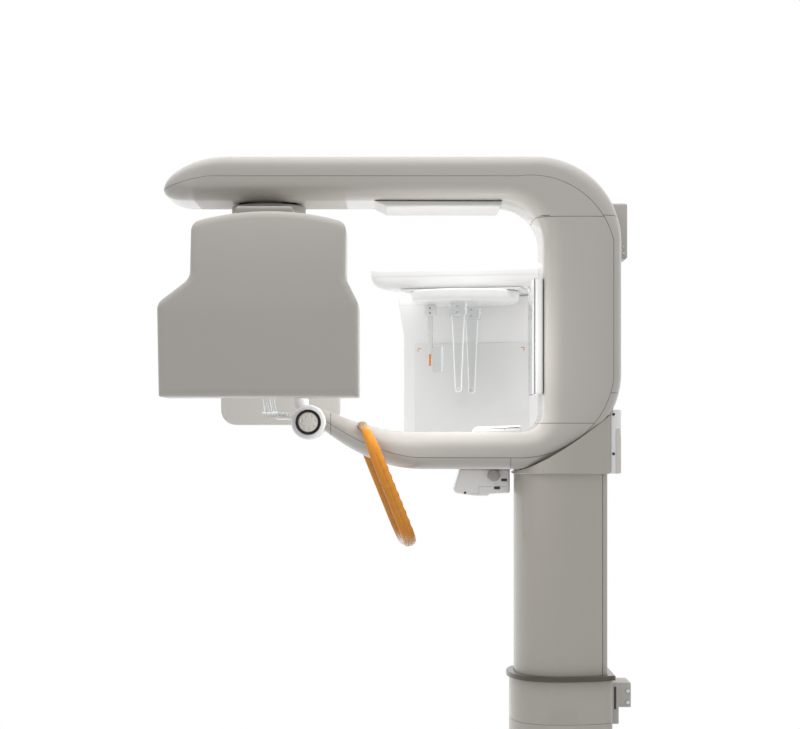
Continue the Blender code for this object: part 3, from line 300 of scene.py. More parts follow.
def noiseOf(tree, scale, detail=3.0, roughness=0.55, stretch=None):
    places = tree.nodes.new("ShaderNodeTexCoord")
    noise = tree.nodes.new("ShaderNodeTexNoise")
    noise.inputs["Scale"].default_value = scale
    noise.inputs["Detail"].default_value = detail
    noise.inputs["Roughness"].default_value = roughness
    source = places.outputs["Object"]
    if stretch:
        mapping = tree.nodes.new("ShaderNodeMapping")
        mapping.inputs["Scale"].default_value = stretch
        tree.links.new(source, mapping.inputs["Vector"])
        source = mapping.outputs["Vector"]
    tree.links.new(source, noise.inputs["Vector"])
    return noise.outputs["Fac"]


def ranged(tree, source, low, high, start=0.0, finish=1.0, smooth=False):
    # the source between start and finish, spread from low to high
    step = tree.nodes.new("ShaderNodeMapRange")
    step.interpolation_type = "SMOOTHSTEP" if smooth else "LINEAR"
    for socket, value in (("From Min", start), ("From Max", finish), ("To Min", low), ("To Max", high)):
        step.inputs[socket].default_value = value
    tree.links.new(source, step.inputs["Value"])
    return step.outputs["Result"]


def combined(tree, operation, *sources):
    total = sources[0]
    for other in sources[1:]:
        step = tree.nodes.new("ShaderNodeMath")
        step.operation = operation
        tree.links.new(total, step.inputs[0])
        tree.links.new(other, step.inputs[1])
        total = step.outputs[0]
    return total


def objectAxes(tree):
    # the place in the object, as separate X, Y and Z
    places = tree.nodes.new("ShaderNodeTexCoord")
    split = tree.nodes.new("ShaderNodeSeparateXYZ")
    tree.links.new(places.outputs["Object"], split.inputs["Vector"])
    return split.outputs


def rubbed(tree, shader, noise, low, high):
    # the roughness drifts between two levels
    tree.links.new(ranged(tree, noise, low, high, 0.3, 0.7), shader.inputs["Roughness"])


def tinted(tree, shader, colour, spreadShare, scale=2.2, stretch=None):
    # the colour drifts a little over the moulding
    ramp = tree.nodes.new("ShaderNodeValToRGB")
    ramp.color_ramp.elements[0].position = 0.3
    ramp.color_ramp.elements[1].position = 0.7
    ramp.color_ramp.elements[0].color = (*[c * (1 - spreadShare) for c in colour], 1)
    ramp.color_ramp.elements[1].color = (*[min(c * (1 + spreadShare), 1) for c in colour], 1)
    tree.links.new(noiseOf(tree, scale, stretch=stretch), ramp.inputs["Fac"])
    tree.links.new(ramp.outputs["Color"], shader.inputs["Base Color"])


def grained(tree, shader, scale, depth, stretch=None, detail=2.0):
    bump = tree.nodes.new("ShaderNodeBump")
    bump.inputs["Distance"].default_value = depth
    bump.inputs["Strength"].default_value = 1.0
    tree.links.new(noiseOf(tree, scale, detail, stretch=stretch), bump.inputs["Height"])
    tree.links.new(bump.outputs["Normal"], shader.inputs["Normal"])


def mouldedCover(name, colour, rough, coat, grain, depth, drift):
    made, tree, shader = newFinish(name)
    tinted(tree, shader, colour, drift)
    rubbed(tree, shader, noiseOf(tree, 14, 4), rough - 0.02, rough + 0.03)
    grained(tree, shader, grain, depth)
    shader.inputs["IOR"].default_value = 1.47
    shader.inputs["Coat Weight"].default_value = coat
    shader.inputs["Coat Roughness"].default_value = 0.07
    return made


def metalFinish(name, colour, rough, stretch, depth):
    made, tree, shader = newFinish(name)
    tinted(tree, shader, colour, 0.08, 60, stretch)
    rubbed(tree, shader, noiseOf(tree, 90, 3, stretch=stretch), rough - 0.07, rough + 0.09)
    grained(tree, shader, 500, depth, stretch)
    shader.inputs["Metallic"].default_value = 1.0
    return made


def clearFinish(name, colour, rough, share, depth):
    made, tree, shader = newFinish(name)
    tinted(tree, shader, colour, 0.012, 9)
    rubbed(tree, shader, noiseOf(tree, 40, 3), rough, rough + 0.05)
    grained(tree, shader, 60, depth)
    shader.inputs["IOR"].default_value = 1.47
    shader.inputs["Transmission Weight"].default_value = share
    return made


# tint, roughness, coat, grain scale, grain depth, drift of the colour
coverPlan = {
    "coverSatin": ("cover", 0.34, 0.2, 900, 0.00004, 0.010),
    "coverGloss": ("cover", 0.30, 0.9, 500, 0.00002, 0.004),
    "frameGloss": ("cover", 0.30, 0.9, 500, 0.00002, 0.004),
    "paintedShadeCover": ("shade", 0.45, 0.0, 900, 0.00004, 0.012),
    "detectorWhite": ("white", 0.30, 0.2, 500, 0.00003, 0.006),
    "windowPane": ("window", 0.12, 0.4, 300, 0.00001, 0.006),
    "knobGrey": ("knob", 0.34, 0.1, 900, 0.00003, 0.012),
    "columnPaint": ("column", 0.42, 0.6, 1300, 0.00003, 0.010),
    "pearlCover": ("pearl", 0.26, 0.3, 500, 0.00003, 0.012),
    "milkCover": ("milk", 0.24, 0.3, 500, 0.00003, 0.010),
    "slateCover": ("slate", 0.45, 0.0, 1100, 0.00006, 0.012),
    "sensorGrey": ("sensor", 0.40, 0.1, 1100, 0.00005, 0.012),
    "bellyCover": ("belly", 0.34, 0.1, 700, 0.00003, 0.012),
    # painted highlight: white strips that glow, for the bright edges of the clear acrylic
    "paintedHighlight": ("white", 0.20, 0.3, 500, 0.00001, 0.010),
    "bronzeTrim": ("bronze", 0.30, 0.4, 700, 0.00003, 0.080),
    "blackRubber": ("rubber", 0.62, 0.0, 1500, 0.00010, 0.150),
    "inkPlastic": ("ink", 0.35, 0.1, 900, 0.00004, 0.100),
    "orangeMark": ("orange", 0.40, 0.0, 900, 0.00003, 0.030),
}
# tint, roughness, stretch of the brushing, depth
metalPlan = {
    "brushedSteel": ("steel", 0.30, (1, 1, 18), 0.00003),
    "turnedSteel": ("steel", 0.22, (1, 1, 30), 0.00003),
    "castIron": ("iron", 0.48, (1, 1, 1), 0.00008),
    "screwSteel": ("steel", 0.25, (6, 6, 1), 0.00003),
    "mirrorSilver": ("silver", 0.05, (1, 1, 1), 0.000002),
}
for name, (colour, *rest) in coverPlan.items():
    finishes[name] = mouldedCover(name, tint[colour], *rest)
for name, (colour, *rest) in metalPlan.items():
    finishes[name] = metalFinish(name, tint[colour], *rest)
finishes["clearAcrylic"] = clearFinish("clearAcrylic", tint["acrylic"], 0.03, 0.92, 0.00002)


def paintShadeUnderRotor(made, low, high, top):
    # painted shade: the coat and specular are turned down in a patch under the rotor, in place of the dark
    # reflection of the heads below it
    tree, shader = made.node_tree, made.node_tree.nodes["Principled BSDF"]
    axes = objectAxes(tree)
    edges = (("X", low, low + 0.006), ("X", high, high - 0.003), ("Z", top, top - 0.010))
    share = combined(tree, "MULTIPLY", *[ranged(tree, axes[axis], 0, 1, start, finish, True)
                                         for axis, start, finish in edges])
    for socket, plain, dull in (("Coat Weight", 0.9, 0.05), ("Specular IOR Level", 0.5, 0.10)):
        tree.links.new(ranged(tree, share, plain, dull), shader.inputs[socket])


# where the patch of painted shade starts and ends along X, and its top
paintedShadePatch = (-0.9035, -0.5275, 2.002)
paintShadeUnderRotor(finishes["frameGloss"], *paintedShadePatch)
amber = {
    "lowEnd": (0.034, 0.002),
    "highEnd": (0.024, 0.004),
    "paleColour": (0.93, 0.72, 0.42, 1),
    "clearShare": 0.75,
    "mottle": 0.12,
    "scatterReach": (1.0, 0.40, 0.06),
    "scatterScale": 0.008,
}


def amberFinish(name, lowZ, highZ):
    # a glossy amber moulding that lets some light through, pale and clear towards both ends
    made, tree, shader = newFinish(name)
    height = objectAxes(tree)["Z"]
    (lowIn, lowOut), (highIn, highOut) = amber["lowEnd"], amber["highEnd"]
    either = combined(tree, "MAXIMUM", ranged(tree, height, 0, 1, lowZ + lowIn, lowZ + lowOut, True),
                      ranged(tree, height, 0, 1, highZ - highIn, highZ - highOut, True))
    ramp = tree.nodes.new("ShaderNodeValToRGB")
    ramp.color_ramp.elements[0].color = (*tint["amber"], 1)
    ramp.color_ramp.elements[1].color = amber["paleColour"]
    tree.links.new(either, ramp.inputs["Fac"])
    mottle = tree.nodes.new("ShaderNodeMix")
    mottle.data_type = "RGBA"
    mottle.blend_type = "MULTIPLY"
    mottle.inputs["Factor"].default_value = amber["mottle"]
    tree.links.new(ramp.outputs["Color"], mottle.inputs[6])
    tree.links.new(noiseOf(tree, 8, 3), mottle.inputs[7])
    tree.links.new(mottle.outputs[2], shader.inputs["Base Color"])
    tree.links.new(ranged(tree, either, 0, amber["clearShare"]), shader.inputs["Transmission Weight"])
    rubbed(tree, shader, noiseOf(tree, 30, 3), 0.20, 0.32)
    grained(tree, shader, 700, 0.00003)
    for socket, value in (("IOR", 1.49), ("Specular IOR Level", 0.35), ("Subsurface Weight", 0.2),
                          ("Subsurface Radius", amber["scatterReach"]),
                          ("Subsurface Scale", amber["scatterScale"]),
                          ("Coat Weight", 0.2), ("Coat Roughness", 0.06)):
        shader.inputs[socket].default_value = value
    return made


handleLow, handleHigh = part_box("patient_handle")
finishes["amberMoulding"] = amberFinish("amberMoulding", handleLow.z, handleHigh.z)
# painted highlight: the edge strips glow with their own light, standing in for the bright edges of the clear
# acrylic; rubber hardly shines
highlightInputs = finishes["paintedHighlight"].node_tree.nodes["Principled BSDF"].inputs
highlightInputs["Emission Color"].default_value = (1, 1, 1, 1)
highlightInputs["Emission Strength"].default_value = 0.28
finishes["blackRubber"].node_tree.nodes["Principled BSDF"].inputs["Specular IOR Level"].default_value = 0.2
print("finishes mixed")


# camera, light and floor
studio = {
    "cameraAt": (-0.396, -5.0, 1.386),
    "lens": 90,
    "rise": 0.0944,
    "worldFill": 0.62,
    "topLight": (120, 4.0, (-0.3, 0.1, 4.2)),
    "topAim": (-0.3, 0, 1.4),
    "backLight": (210, 7.0, (-0.3, 4.2, 0.9)),
    "backAim": (-0.3, 0, 1.5),
    "glow": (4.2, 0.20, (-0.24, -0.10, 1.61)),
    "chinGlow": (0.9, 0.10, (-0.47, -0.20, 1.49)),
    "floorRadius": 2.6,
}


def setCamera():
    lensData = bpy.data.cameras.new("studioCamera")
    lensData.lens = studio["lens"]
    lensData.sensor_width = 36
    lensData.shift_y = studio["rise"]
    lensData.clip_end = 60
    camera = bpy.data.objects.new("studioCamera", lensData)
    camera.location = studio["cameraAt"]
    camera.rotation_euler = (math.pi / 2, 0, 0)
    bpy.context.scene.collection.objects.link(camera)
    bpy.context.scene.camera = camera


def setWorld():
    # camera, mirror and glass rays see the bright studio; everything else sees the plain light
    world = bpy.data.worlds.new("studioWorld")
    bpy.context.scene.world = world
    world.use_nodes = True
    tree = world.node_tree
    sky = tree.nodes["Background"]
    sky.inputs["Color"].default_value = (1, 1, 1, 1)
    path = tree.nodes.new("ShaderNodeLightPath")
    direct = combined(tree, "MAXIMUM", *[path.outputs["Is %s Ray" % kind]
                                         for kind in ("Camera", "Glossy", "Transmission")])
    tree.links.new(ranged(tree, direct, studio["worldFill"], 1.0), sky.inputs["Strength"])


def placeLamp(name, lamp, at):
    obj = bpy.data.objects.new(name, lamp)
    obj.location = at
    obj.visible_camera = obj.visible_glossy = obj.visible_transmission = False
    bpy.context.scene.collection.objects.link(obj)
    return obj


def setLamp(name, watts, size, at, aim):
    lamp = bpy.data.lights.new(name, "AREA")
    lamp.energy = watts
    lamp.shape = "SQUARE"
    lamp.size = size
    placeLamp(name, lamp, at).rotation_euler = (Vector(aim) - Vector(at)).to_track_quat("-Z", "Y").to_euler()


def setGlow(name, watts, radius, at):
    # a soft light inside the C, as light bounces about between its pale faces
    lamp = bpy.data.lights.new(name, "POINT")
    lamp.energy = watts
    lamp.shadow_soft_size = radius
    placeLamp(name, lamp, at)


def layFloor():
    # a pale disc that fades into the white round its rim
    radius = studio["floorRadius"]
    floor = meshFrom("studioFloor", spun([(0, 0), (radius, 0), (radius, -0.01), (0, -0.01)], None, 128))
    made, tree, shader = newFinish("studioFloor")
    tinted(tree, shader, tint["floor"], 0.01, 3)
    shader.inputs["Roughness"].default_value = 0.6
    places = tree.nodes.new("ShaderNodeTexCoord")
    reach = tree.nodes.new("ShaderNodeVectorMath")
    reach.operation = "LENGTH"
    tree.links.new(places.outputs["Object"], reach.inputs[0])
    white = tree.nodes.new("ShaderNodeEmission")
    mix = tree.nodes.new("ShaderNodeMixShader")
    tree.links.new(ranged(tree, reach.outputs["Value"], 0, 1, radius * 0.45, radius * 0.98, True),
                   mix.inputs["Fac"])
    tree.links.new(shader.outputs["BSDF"], mix.inputs[1])
    tree.links.new(white.outputs["Emission"], mix.inputs[2])
    tree.links.new(mix.outputs["Shader"], tree.nodes["Material Output"].inputs["Surface"])
    floor.data.materials.append(made)
    floor.location.z = -0.0005


setCamera()
setWorld()
setLamp("topPanel", *studio["topLight"], studio["topAim"])
setLamp("backPanel", *studio["backLight"], studio["backAim"])
setGlow("innerGlow", *studio["glow"])
setGlow("chinGlow", *studio["chinGlow"])
layFloor()
bpy.context.scene.view_settings.view_transform = "Standard"
print("studio set")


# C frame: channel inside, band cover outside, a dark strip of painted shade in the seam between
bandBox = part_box("frame_band_cover")
backCover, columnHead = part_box("rear_cover"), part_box("inner_column")
shaftBox, hubBox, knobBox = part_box("rotor_shaft"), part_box("rotor_hub_cover"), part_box("knob_face")
rotorAt = Vector(((shaftBox[0].x + shaftBox[1].x) / 2, 0, 0))
knobAt = Vector(((knobBox[0].x + knobBox[1].x) / 2, knobBox[1].y, (knobBox[0].z + knobBox[1].z) / 2))

cFrame = {
    "top": bandBox[1].z,
    "under": hubBox[1].z + 0.005,
    "backOut": bandBox[1].x,
    "thick": 0.192,
    "lowUnder": columnHead[1].z + 0.001,
    "lowDeep": 0.093,
    "half": bandBox[1].y,
    "tip": (bandBox[0].x, 2.000, 0.075),
    "noseTop": 0.165,
    "noseUnder": 0.060,
    "topRadius": (0.105, 0.210),
    "lowRadius": (0.050, 0.272, 0.2355),
    "rise": (-0.3815, -0.3395, -0.585, 0.055, 0.096),
    "endHalf": 0.050,
    "edge": (0.045, 0.035),
    "crown": 0.009,
    "cover": (0.49, 0.115, 0.31, 0.50),
    "seam": 0.0011,
    "seamDeep": 0.0022,
    "wall": 0.004,
    "air": 0.0009,
    "travel": 0.020,
    "shaftAir": 0.006,
    "postAir": 0.002,
    "joint": (0.005, -0.0022),
    # the dark rings of painted shade in the grooves: outer reach, inner reach and width
    "strip": (-0.0013, -0.0026, 0.0015),
    "channelJoints": ((2, 1.930), (2, 1.427), (0, -0.5680)),
    "bandJoints": ((2, 1.933), (2, 1.501), (0, -0.1265), (0, -0.5680)),
}


def frameStations(fine):
    c = cFrame
    stations = []
    inX, outX = c["backOut"] - c["thick"], c["backOut"]
    lowTop = c["lowUnder"] + c["lowDeep"]
    tipX, tipZ, tipHalf = c["tip"]
    armShare, backShare, lowShare, endShare = c["cover"]

    def put(inner, outer, half, share):
        stations.append((Vector((inner[0], 0, inner[1])), Vector((outer[0], 0, outer[1])), half, share))

    for i in range(3 * fine + 1):
        angle = math.radians(mixed(2.5 if fine > 3 else 9, 90, i / (3 * fine)))
        back, up = 1 - math.cos(angle), math.sin(angle)
        put((tipX + c["noseUnder"] * back, mixed(tipZ, c["under"], up)),
            (tipX + c["noseTop"] * back, mixed(tipZ, c["top"], up)),
            mixed(tipHalf, c["half"], up), mixed(0.75, armShare, i / (3 * fine)))
    put((-0.60, c["under"]), (-0.58, c["top"]), c["half"], armShare)
    tight, wide = c["topRadius"]
    for i in range(4 * fine + 1):
        angle = math.pi / 2 * (1 - i / (4 * fine))
        x, z = math.cos(angle) - 1, math.sin(angle) - 1
        put((inX + tight * x, c["under"] + tight * z), (outX + wide * x, c["top"] + wide * z),
            c["half"], mixed(armShare, backShare, i / (4 * fine)))
    tight, wideX, wideZ = c["lowRadius"]
    for i in range(4 * fine + 1):
        angle = math.pi / 2 * i / (4 * fine)
        x, z = math.cos(angle) - 1, 1 - math.sin(angle)
        put((inX + tight * x, lowTop + tight * z), (outX + wideX * x, c["lowUnder"] + wideZ * z),
            c["half"], mixed(backShare, lowShare, i / (4 * fine)))
    topX, underX, endX, topRise, underRise = c["rise"]
    for i in range(3 * fine + 1):
        share = i / (3 * fine)
        put((mixed(topX, endX, share), lowTop + topRise * share**1.6),
            (mixed(underX, endX, share), c["lowUnder"] + underRise * share**2),
            mixed(mixed(c["half"], c["endHalf"], 0.35), c["endHalf"], eased(share)),
            mixed(lowShare, endShare, share))
    return stations


def barSection(low, high, half, depths, grow=0.0):
    # a slice of the round-edged bar: places at some depths from its inner side
    along = high - low
    thick = along.length
    along = along.normalized()
    edgeIn, edgeOut = (min(edge, 0.46 * thick, half * 0.9) for edge in cFrame["edge"])
    near = []
    for depth in depths:
        width = half
        if depth < edgeIn:
            width = half - edgeIn + math.sqrt(max(edgeIn**2 - (edgeIn - depth) ** 2, 0))
        elif depth > thick - edgeOut:
            width = half - edgeOut + math.sqrt(max(edgeOut**2 - (depth - thick + edgeOut) ** 2, 0))
        width -= min(cFrame["crown"], 0.12 * half) * abs(2 * depth / thick - 1) ** 2.2
        moved = depth + mixed(-grow, grow, depth / thick)
        near.append((low + along * moved, width + grow))
    side = Vector((0, 1, 0))
    return [p - side * w for p, w in near] + [p + side * w for p, w in reversed(near)]


def channelDepths(thick, cover, steps, gap):
    end = thick * (1 - cover) - gap
    return [end * (1 - math.cos(a)) for a in quarter(steps)]


def bandDepths(thick, cover, steps, gap):
    start = thick * (1 - cover) + gap
    return [thick - (thick - start) * (1 - math.cos(a)) for a in reversed(quarter(steps))]


def wholeDepths(thick, cover, steps, gap):
    return [thick * (1 - math.cos(math.pi * i / steps)) / 2 for i in range(steps + 1)]


def frameSkin(depthsOf, fine=8, steps=18, gap=0.0, grow=0.0, first=0, last=None):
    return skinned([barSection(p, q, half, depthsOf((q - p).length, cover, steps, gap), grow)
                    for p, q, half, cover in frameStations(fine)[first:last]])


def crossRing(name, axis, place, outer, inner, width=0.0012):
    # a thin ring round the bar, from one depth to another, where the bar passes a height or a reach
    fine = 8
    first = 3 * fine + 2 if axis == 2 else 3 * fine + 2 * (4 * fine + 1) + 1
    stations = frameStations(fine)[first:]
    ends, halves = [], []
    for side in (0, 1):
        for one, two in zip(stations, stations[1:]):
            here, after = one[side][axis], two[side][axis]
            if here != after and (here - place) * (after - place) <= 0:
                share = (place - here) / (after - here)
                ends.append(one[side].lerp(two[side], share))
                halves.append(mixed(one[2], two[2], share))
                break
    low, high = ends
    shift = Vector((0, 0, 0))
    shift[axis] = width / 2
    rings = []
    for way, grow in ((-1, outer), (1, outer), (1, inner), (-1, inner)):
        ring = barSection(low, high, min(halves), wholeDepths((high - low).length, 0, 40, 0), grow)
        rings.append([point + shift * way for point in ring])
    return meshFrom(name, skinned(rings, closed=True))


def frameRoom():
    # the room that the frame takes, with a little air, cut from the covers that meet it
    return meshFrom("frameRoom", frameSkin(wholeDepths, 8, 36, 0, cFrame["air"]))


def knobSeat(half):
    # a round cutter where the knob housing passes through
    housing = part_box("knob_housing")
    radius = (housing[1].z - housing[0].z) / 2 + 0.0003
    return meshFrom("seat", barBetween((knobAt.x, -half, knobAt.z), (knobAt.x, half, knobAt.z), radius, 96))


def makeCFrame():
    c = cFrame
    gap = c["seam"] / 2
    reach, travel = (shaftBox[1].x - shaftBox[0].x) / 2 + c["shaftAir"], c["travel"]
    slot = meshFrom("slot", slab((rotorAt.x - reach - travel, -reach, c["under"] - 0.02),
                                 (rotorAt.x + reach + travel, reach, c["under"] + 0.03)))
    post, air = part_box("frame_post"), c["postAir"]
    hole = meshFrom("postHole", slab((post[0].x - air, post[0].y - air, c["lowUnder"] - 0.02),
                                     (post[1].x + air, post[1].y + air, c["lowUnder"] + c["lowDeep"] + 0.03)))

    def jointsAndHollow(joints):
        # the grooves across the bar, then the hollow inside
        hollow = meshFrom("hollow", frameSkin(wholeDepths, 3, 12, 0, -c["wall"], 2, -1))
        return [crossRing("groove", *joint, *c["joint"]) for joint in joints] + [hollow]

    channel = meshFrom("cFrameChannel", frameSkin(channelDepths, gap=gap))
    notch = meshFrom("handleNotch", handleLoop(0.0008, False))
    carve(channel, slot, knobSeat(0.12), notch, *jointsAndHollow(c["channelJoints"]))
    ride(channel, "carriage", "frameGloss", ["frame_inner_cover"])
    band = meshFrom("cFrameBand", frameSkin(bandDepths, gap=gap))
    carve(band, hole, knobSeat(0.12), *jointsAndHollow(c["bandJoints"]))
    ride(band, "carriage", "coverGloss", ["frame_band_cover"])


def makeJointShadeStrips():
    # painted shade: a dark ring down in each groove across the bar, for the shadow inside it
    for number, joint in enumerate(sorted(set(cFrame["channelJoints"] + cFrame["bandJoints"]))):
        ride(crossRing("jointShadeStrip%d" % number, *joint, *cFrame["strip"]), "carriage", "inkPlastic")


def makeSeamShadeStrip():
    # painted shade: a dark strip just under the surface, along the whole seam on both sides, for the shadow
    # inside the gap
    c = cFrame
    for sign, name in ((-1, "Near"), (1, "Far")):
        rings = []
        for p, q, half, cover in frameStations(8)[1:-1]:
            thick = (q - p).length
            depth = thick * (1 - cover)
            low = barSection(p, q, half, [depth - 0.002, depth + 0.002])
            wide = [low[0], low[1]] if sign < 0 else [low[3], low[2]]
            inward = Vector((0, -sign, 0))
            rings.append([wide[0] + inward * c["seamDeep"], wide[1] + inward * c["seamDeep"],
                          wide[1] + inward * (c["seamDeep"] + 0.001),
                          wide[0] + inward * (c["seamDeep"] + 0.001)])
        ride(meshFrom("seamShadeStrip" + name, skinned(rings)), "carriage", "inkPlastic")


# hand loop
handLoop = {
    "top": (-0.4845, 1.4245),
    "tilt": 22.0,
    "long": 0.312,
    "skew": 0.080,
    "half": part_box("patient_handle")[1].y - 0.011,
    "corner": 0.060,
    "wide": 0.0163,
    "deep": 0.011,
    "crease": 0.0016,
    "gripPitch": 0.0235,
    "gripDeep": 0.0016,
}


def handleLoop(grow=0.0, gripped=True):
    h = handLoop
    tilt = math.radians(h["tilt"])
    down = Vector((math.sin(tilt), 0, -math.cos(tilt)))
    normal = Vector((math.cos(tilt), 0, math.sin(tilt)))
    side = Vector((0, 1, 0))
    aside = Vector((-h["skew"], 0, 0))
    top = Vector((h["top"][0], 0, h["top"][1]))
    outline = filleted([(-h["half"], 0, h["corner"]), (h["half"], 0, h["corner"]),
                        (h["half"], h["long"], h["corner"]), (-h["half"], h["long"], h["corner"])], 14)
    path = []
    for i, here in enumerate(outline):
        after = outline[(i + 1) % len(outline)]
        pieces = max(1, round((after - here).length / (0.0036 if gripped else 0.020)))
        path += [here.lerp(after, k / pieces) for k in range(pieces)]
    rings = []
    sides = 44 if gripped else 14
    for i, here in enumerate(path):
        before, after = path[i - 1], path[(i + 1) % len(path)]
        tangent = ((here - before).normalized() + (after - here).normalized()).normalized()
        outward = Vector((tangent.y, -tangent.x))
        slim = mixed(0.65, 1.0, eased(here.y / 0.09))
        held = eased((here.y - 0.06) / 0.03) * eased((0.285 - here.y) / 0.02) if gripped else 0
        ripple = held * h["gripDeep"] * (0.5 - 0.5 * math.cos(2 * math.pi * here.y / h["gripPitch"]))
        centre = top + down * here.y + side * here.x + aside * (here.x + h["half"])
        across = down * outward.y + side * outward.x
        ring = []
        for j in range(sides):
            angle = 2 * math.pi * j / sides
            front = max(0.0, math.cos(angle)) ** 2
            crease = held * h["crease"] * math.exp(-(math.cos(angle) / 0.10) ** 2)
            ring.append(centre + normal * (h["wide"] * slim + grow - ripple * front) * math.cos(angle)
                        + across * (h["deep"] * slim + grow - ripple * 0.4 - crease) * math.sin(angle))
        rings.append(ring)
    return skinned(rings, closed=True)


def makeHandLoop():
    loop = meshFrom("amberHandLoop", handleLoop())
    ride(loop, "carriage", "amberMoulding", ["patient_handle"])


makeCFrame()
makeSeamShadeStrip()
makeJointShadeStrips()
print("C frame covered")
makeHandLoop()
print("hand loop made")


# column: foot, sleeve, bronze ring, inner column, skirt and wall bracket
sleeveBox, skirtBox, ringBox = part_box("lower_column"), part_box("neck_skirt"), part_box("column_collar")
footBox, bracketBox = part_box("floor_plate"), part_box("wall_bracket")

column = {
    "fall": 0.24,
    "corner": 0.012,
    "edge": 0.0025,
    "seamHeight": 0.695,
    "seam": 0.0010,
    "seamDeep": 0.0018,
    "slope": (-0.005, 0.139, 1.35),
    "ringLip": 0.004,
    "ringAir": 0.001,
    "skirtAir": 0.0003,
    "skirtUp": 0.02,
    "wall": 0.004,
}


def columnOutline(halfX, halfY, height, steps=30):
    # an oval front, sides that fall off a little, and a flat back with small corners
    corner = column["corner"]
    near = []
    for i in range(steps):
        angle = math.pi / 2 * i / steps
        near.append((-halfX * math.cos(angle) ** 0.85, -halfY * math.sin(angle) ** 0.85))
    for i in range(12):
        x = (halfX - corner) * i / 12
        near.append((x, -halfY * (1 - column["fall"] * (x / halfX) ** 2)))
    flankY = -halfY * (1 - column["fall"] * ((halfX - corner) / halfX) ** 2)
    for turn in quarter(4):
        near.append((halfX - corner * (1 - math.sin(turn)), flankY + corner * (1 - math.cos(turn))))
    far = [(x, -y) for x, y in reversed(near[1:])]
    return [Vector((x, y, height)) for x, y in near + far]


def tubeRings(halfX, halfY, low, high, wall, edge=0.0, seams=()):
    # outside going up, with rounded rims and thin seams, then inside coming down
    levels = [(low, -edge), (low + edge * 0.3, -edge * 0.3), (low + edge, 0)]
    for at in seams:
        deep, half = column["seamDeep"], column["seam"] / 2
        levels += [(at - half - 0.0006, 0), (at - half, -0.0004), (at - half, -deep), (at + half, -deep),
                   (at + half, -0.0004), (at + half + 0.0006, 0)]
    levels += [(high - edge, 0), (high - edge * 0.3, -edge * 0.3), (high, -edge)]
    rings = [columnOutline(halfX + grow, halfY + grow, z) for z, grow in levels]
    return rings + [columnOutline(halfX - wall, halfY - wall, z) for z in (high, low)]


def makeSleeve():
    low, high = sleeveBox
    rings = tubeRings(-low.x, high.y, low.z, high.z, column["wall"], column["edge"], (column["seamHeight"],))
    ride(meshFrom("columnSleeve", skinned(rings, closed=True)), "column", "columnPaint", ["lower_column"])


def makeInnerColumn():
    low, high = columnHead
    halfX, halfY, wall = -low.x, high.y, column["wall"]
    outside = [columnOutline(halfX, halfY, z) for z in (high.z, low.z)]
    inside = [columnOutline(halfX - wall, halfY - wall, z) for z in (low.z, high.z - 2 * wall)]
    inner = meshFrom("innerColumn", skinned(outside + inside))
    grooves = []
    for y in (-1, 1):
        # a long groove where the back strip meets the side
        at = halfY * 0.765 * y
        grooves.append(meshFrom("backGroove", slab((halfX - 0.0135, min(at * 0.985, at * 1.2), low.z - 0.01),
                                                   (halfX - 0.0122, max(at * 0.985, at * 1.2),
                                                    high.z + 0.01))))
    carve(inner, *grooves)
    ride(inner, "carriage", "columnPaint", ["inner_column"])


def makeBronzeRing():
    low, high = ringBox
    halfX, halfY = high.x, high.y
    innerX, innerY = columnHead[1].x + column["ringAir"], columnHead[1].y + column["ringAir"]
    lip = column["ringLip"]
    levels = [(0, low.z), (0, high.z - lip)]
    levels += [(-lip * (1 - math.cos(a)), high.z - lip * (1 - math.sin(a)))
               for a in quarter(6, 1)]
    rings = [columnOutline(halfX + grow, halfY + grow, z) for grow, z in levels]
    rings += [columnOutline(innerX, innerY, high.z), columnOutline(innerX, innerY, low.z)]
    ride(meshFrom("bronzeRing", skinned(rings, closed=True)), "column", "bronzeTrim", ["column_collar"])


def makeSkirt():
    low, high = skirtBox
    halfX, halfY, wall, air = -low.x, high.y, column["wall"], column["skirtAir"]
    tightX, tightY, topZ = columnHead[1].x + air, columnHead[1].y + air, high.z + column["skirtUp"]
    start, climb, power = column["slope"]
    levels = [(halfX - 0.002, halfY - 0.002, low.z), (halfX, halfY, low.z + 0.002), (halfX, halfY, topZ),
              (halfX - wall, halfY - wall, topZ), (halfX - wall, halfY - wall, low.z + wall),
              (tightX, tightY, low.z + wall), (tightX, tightY, low.z)]
    skirt = meshFrom("neckSkirt", skinned([columnOutline(*level) for level in levels], closed=True))
    farX, farY, roofZ = halfX + 0.08, halfY + 0.05, high.z + 0.14
    slope = []
    for i in range(25):
        share = i / 24
        slope.append((mixed(-halfX - 0.001, halfX, share), columnHead[1].z + start + climb * share**power))
    roof = [(-farX, slope[0][1]), *slope, (farX, slope[-1][1]), (farX, roofZ), (-farX, roofZ)]
    above = meshFrom("above", skinned([[Vector((x, y, z)) for x, z in roof] for y in (-farY, farY)]))
    carve(skirt, above, frameRoom())
    ride(skirt, "carriage", "columnPaint", ["neck_skirt"])


rearCover = {
    "edge": 0.007,
    "screwDown": (0.011, 0.108),
    "screwIn": 0.0095,
    "screwSize": 0.0036,
    "trimIn": (0.0145, 0.0008),
    "trimUp": (0.001, 0.113),
    "trimFace": (0.0010, 0.002),
    "trimEdge": 0.0006,
}


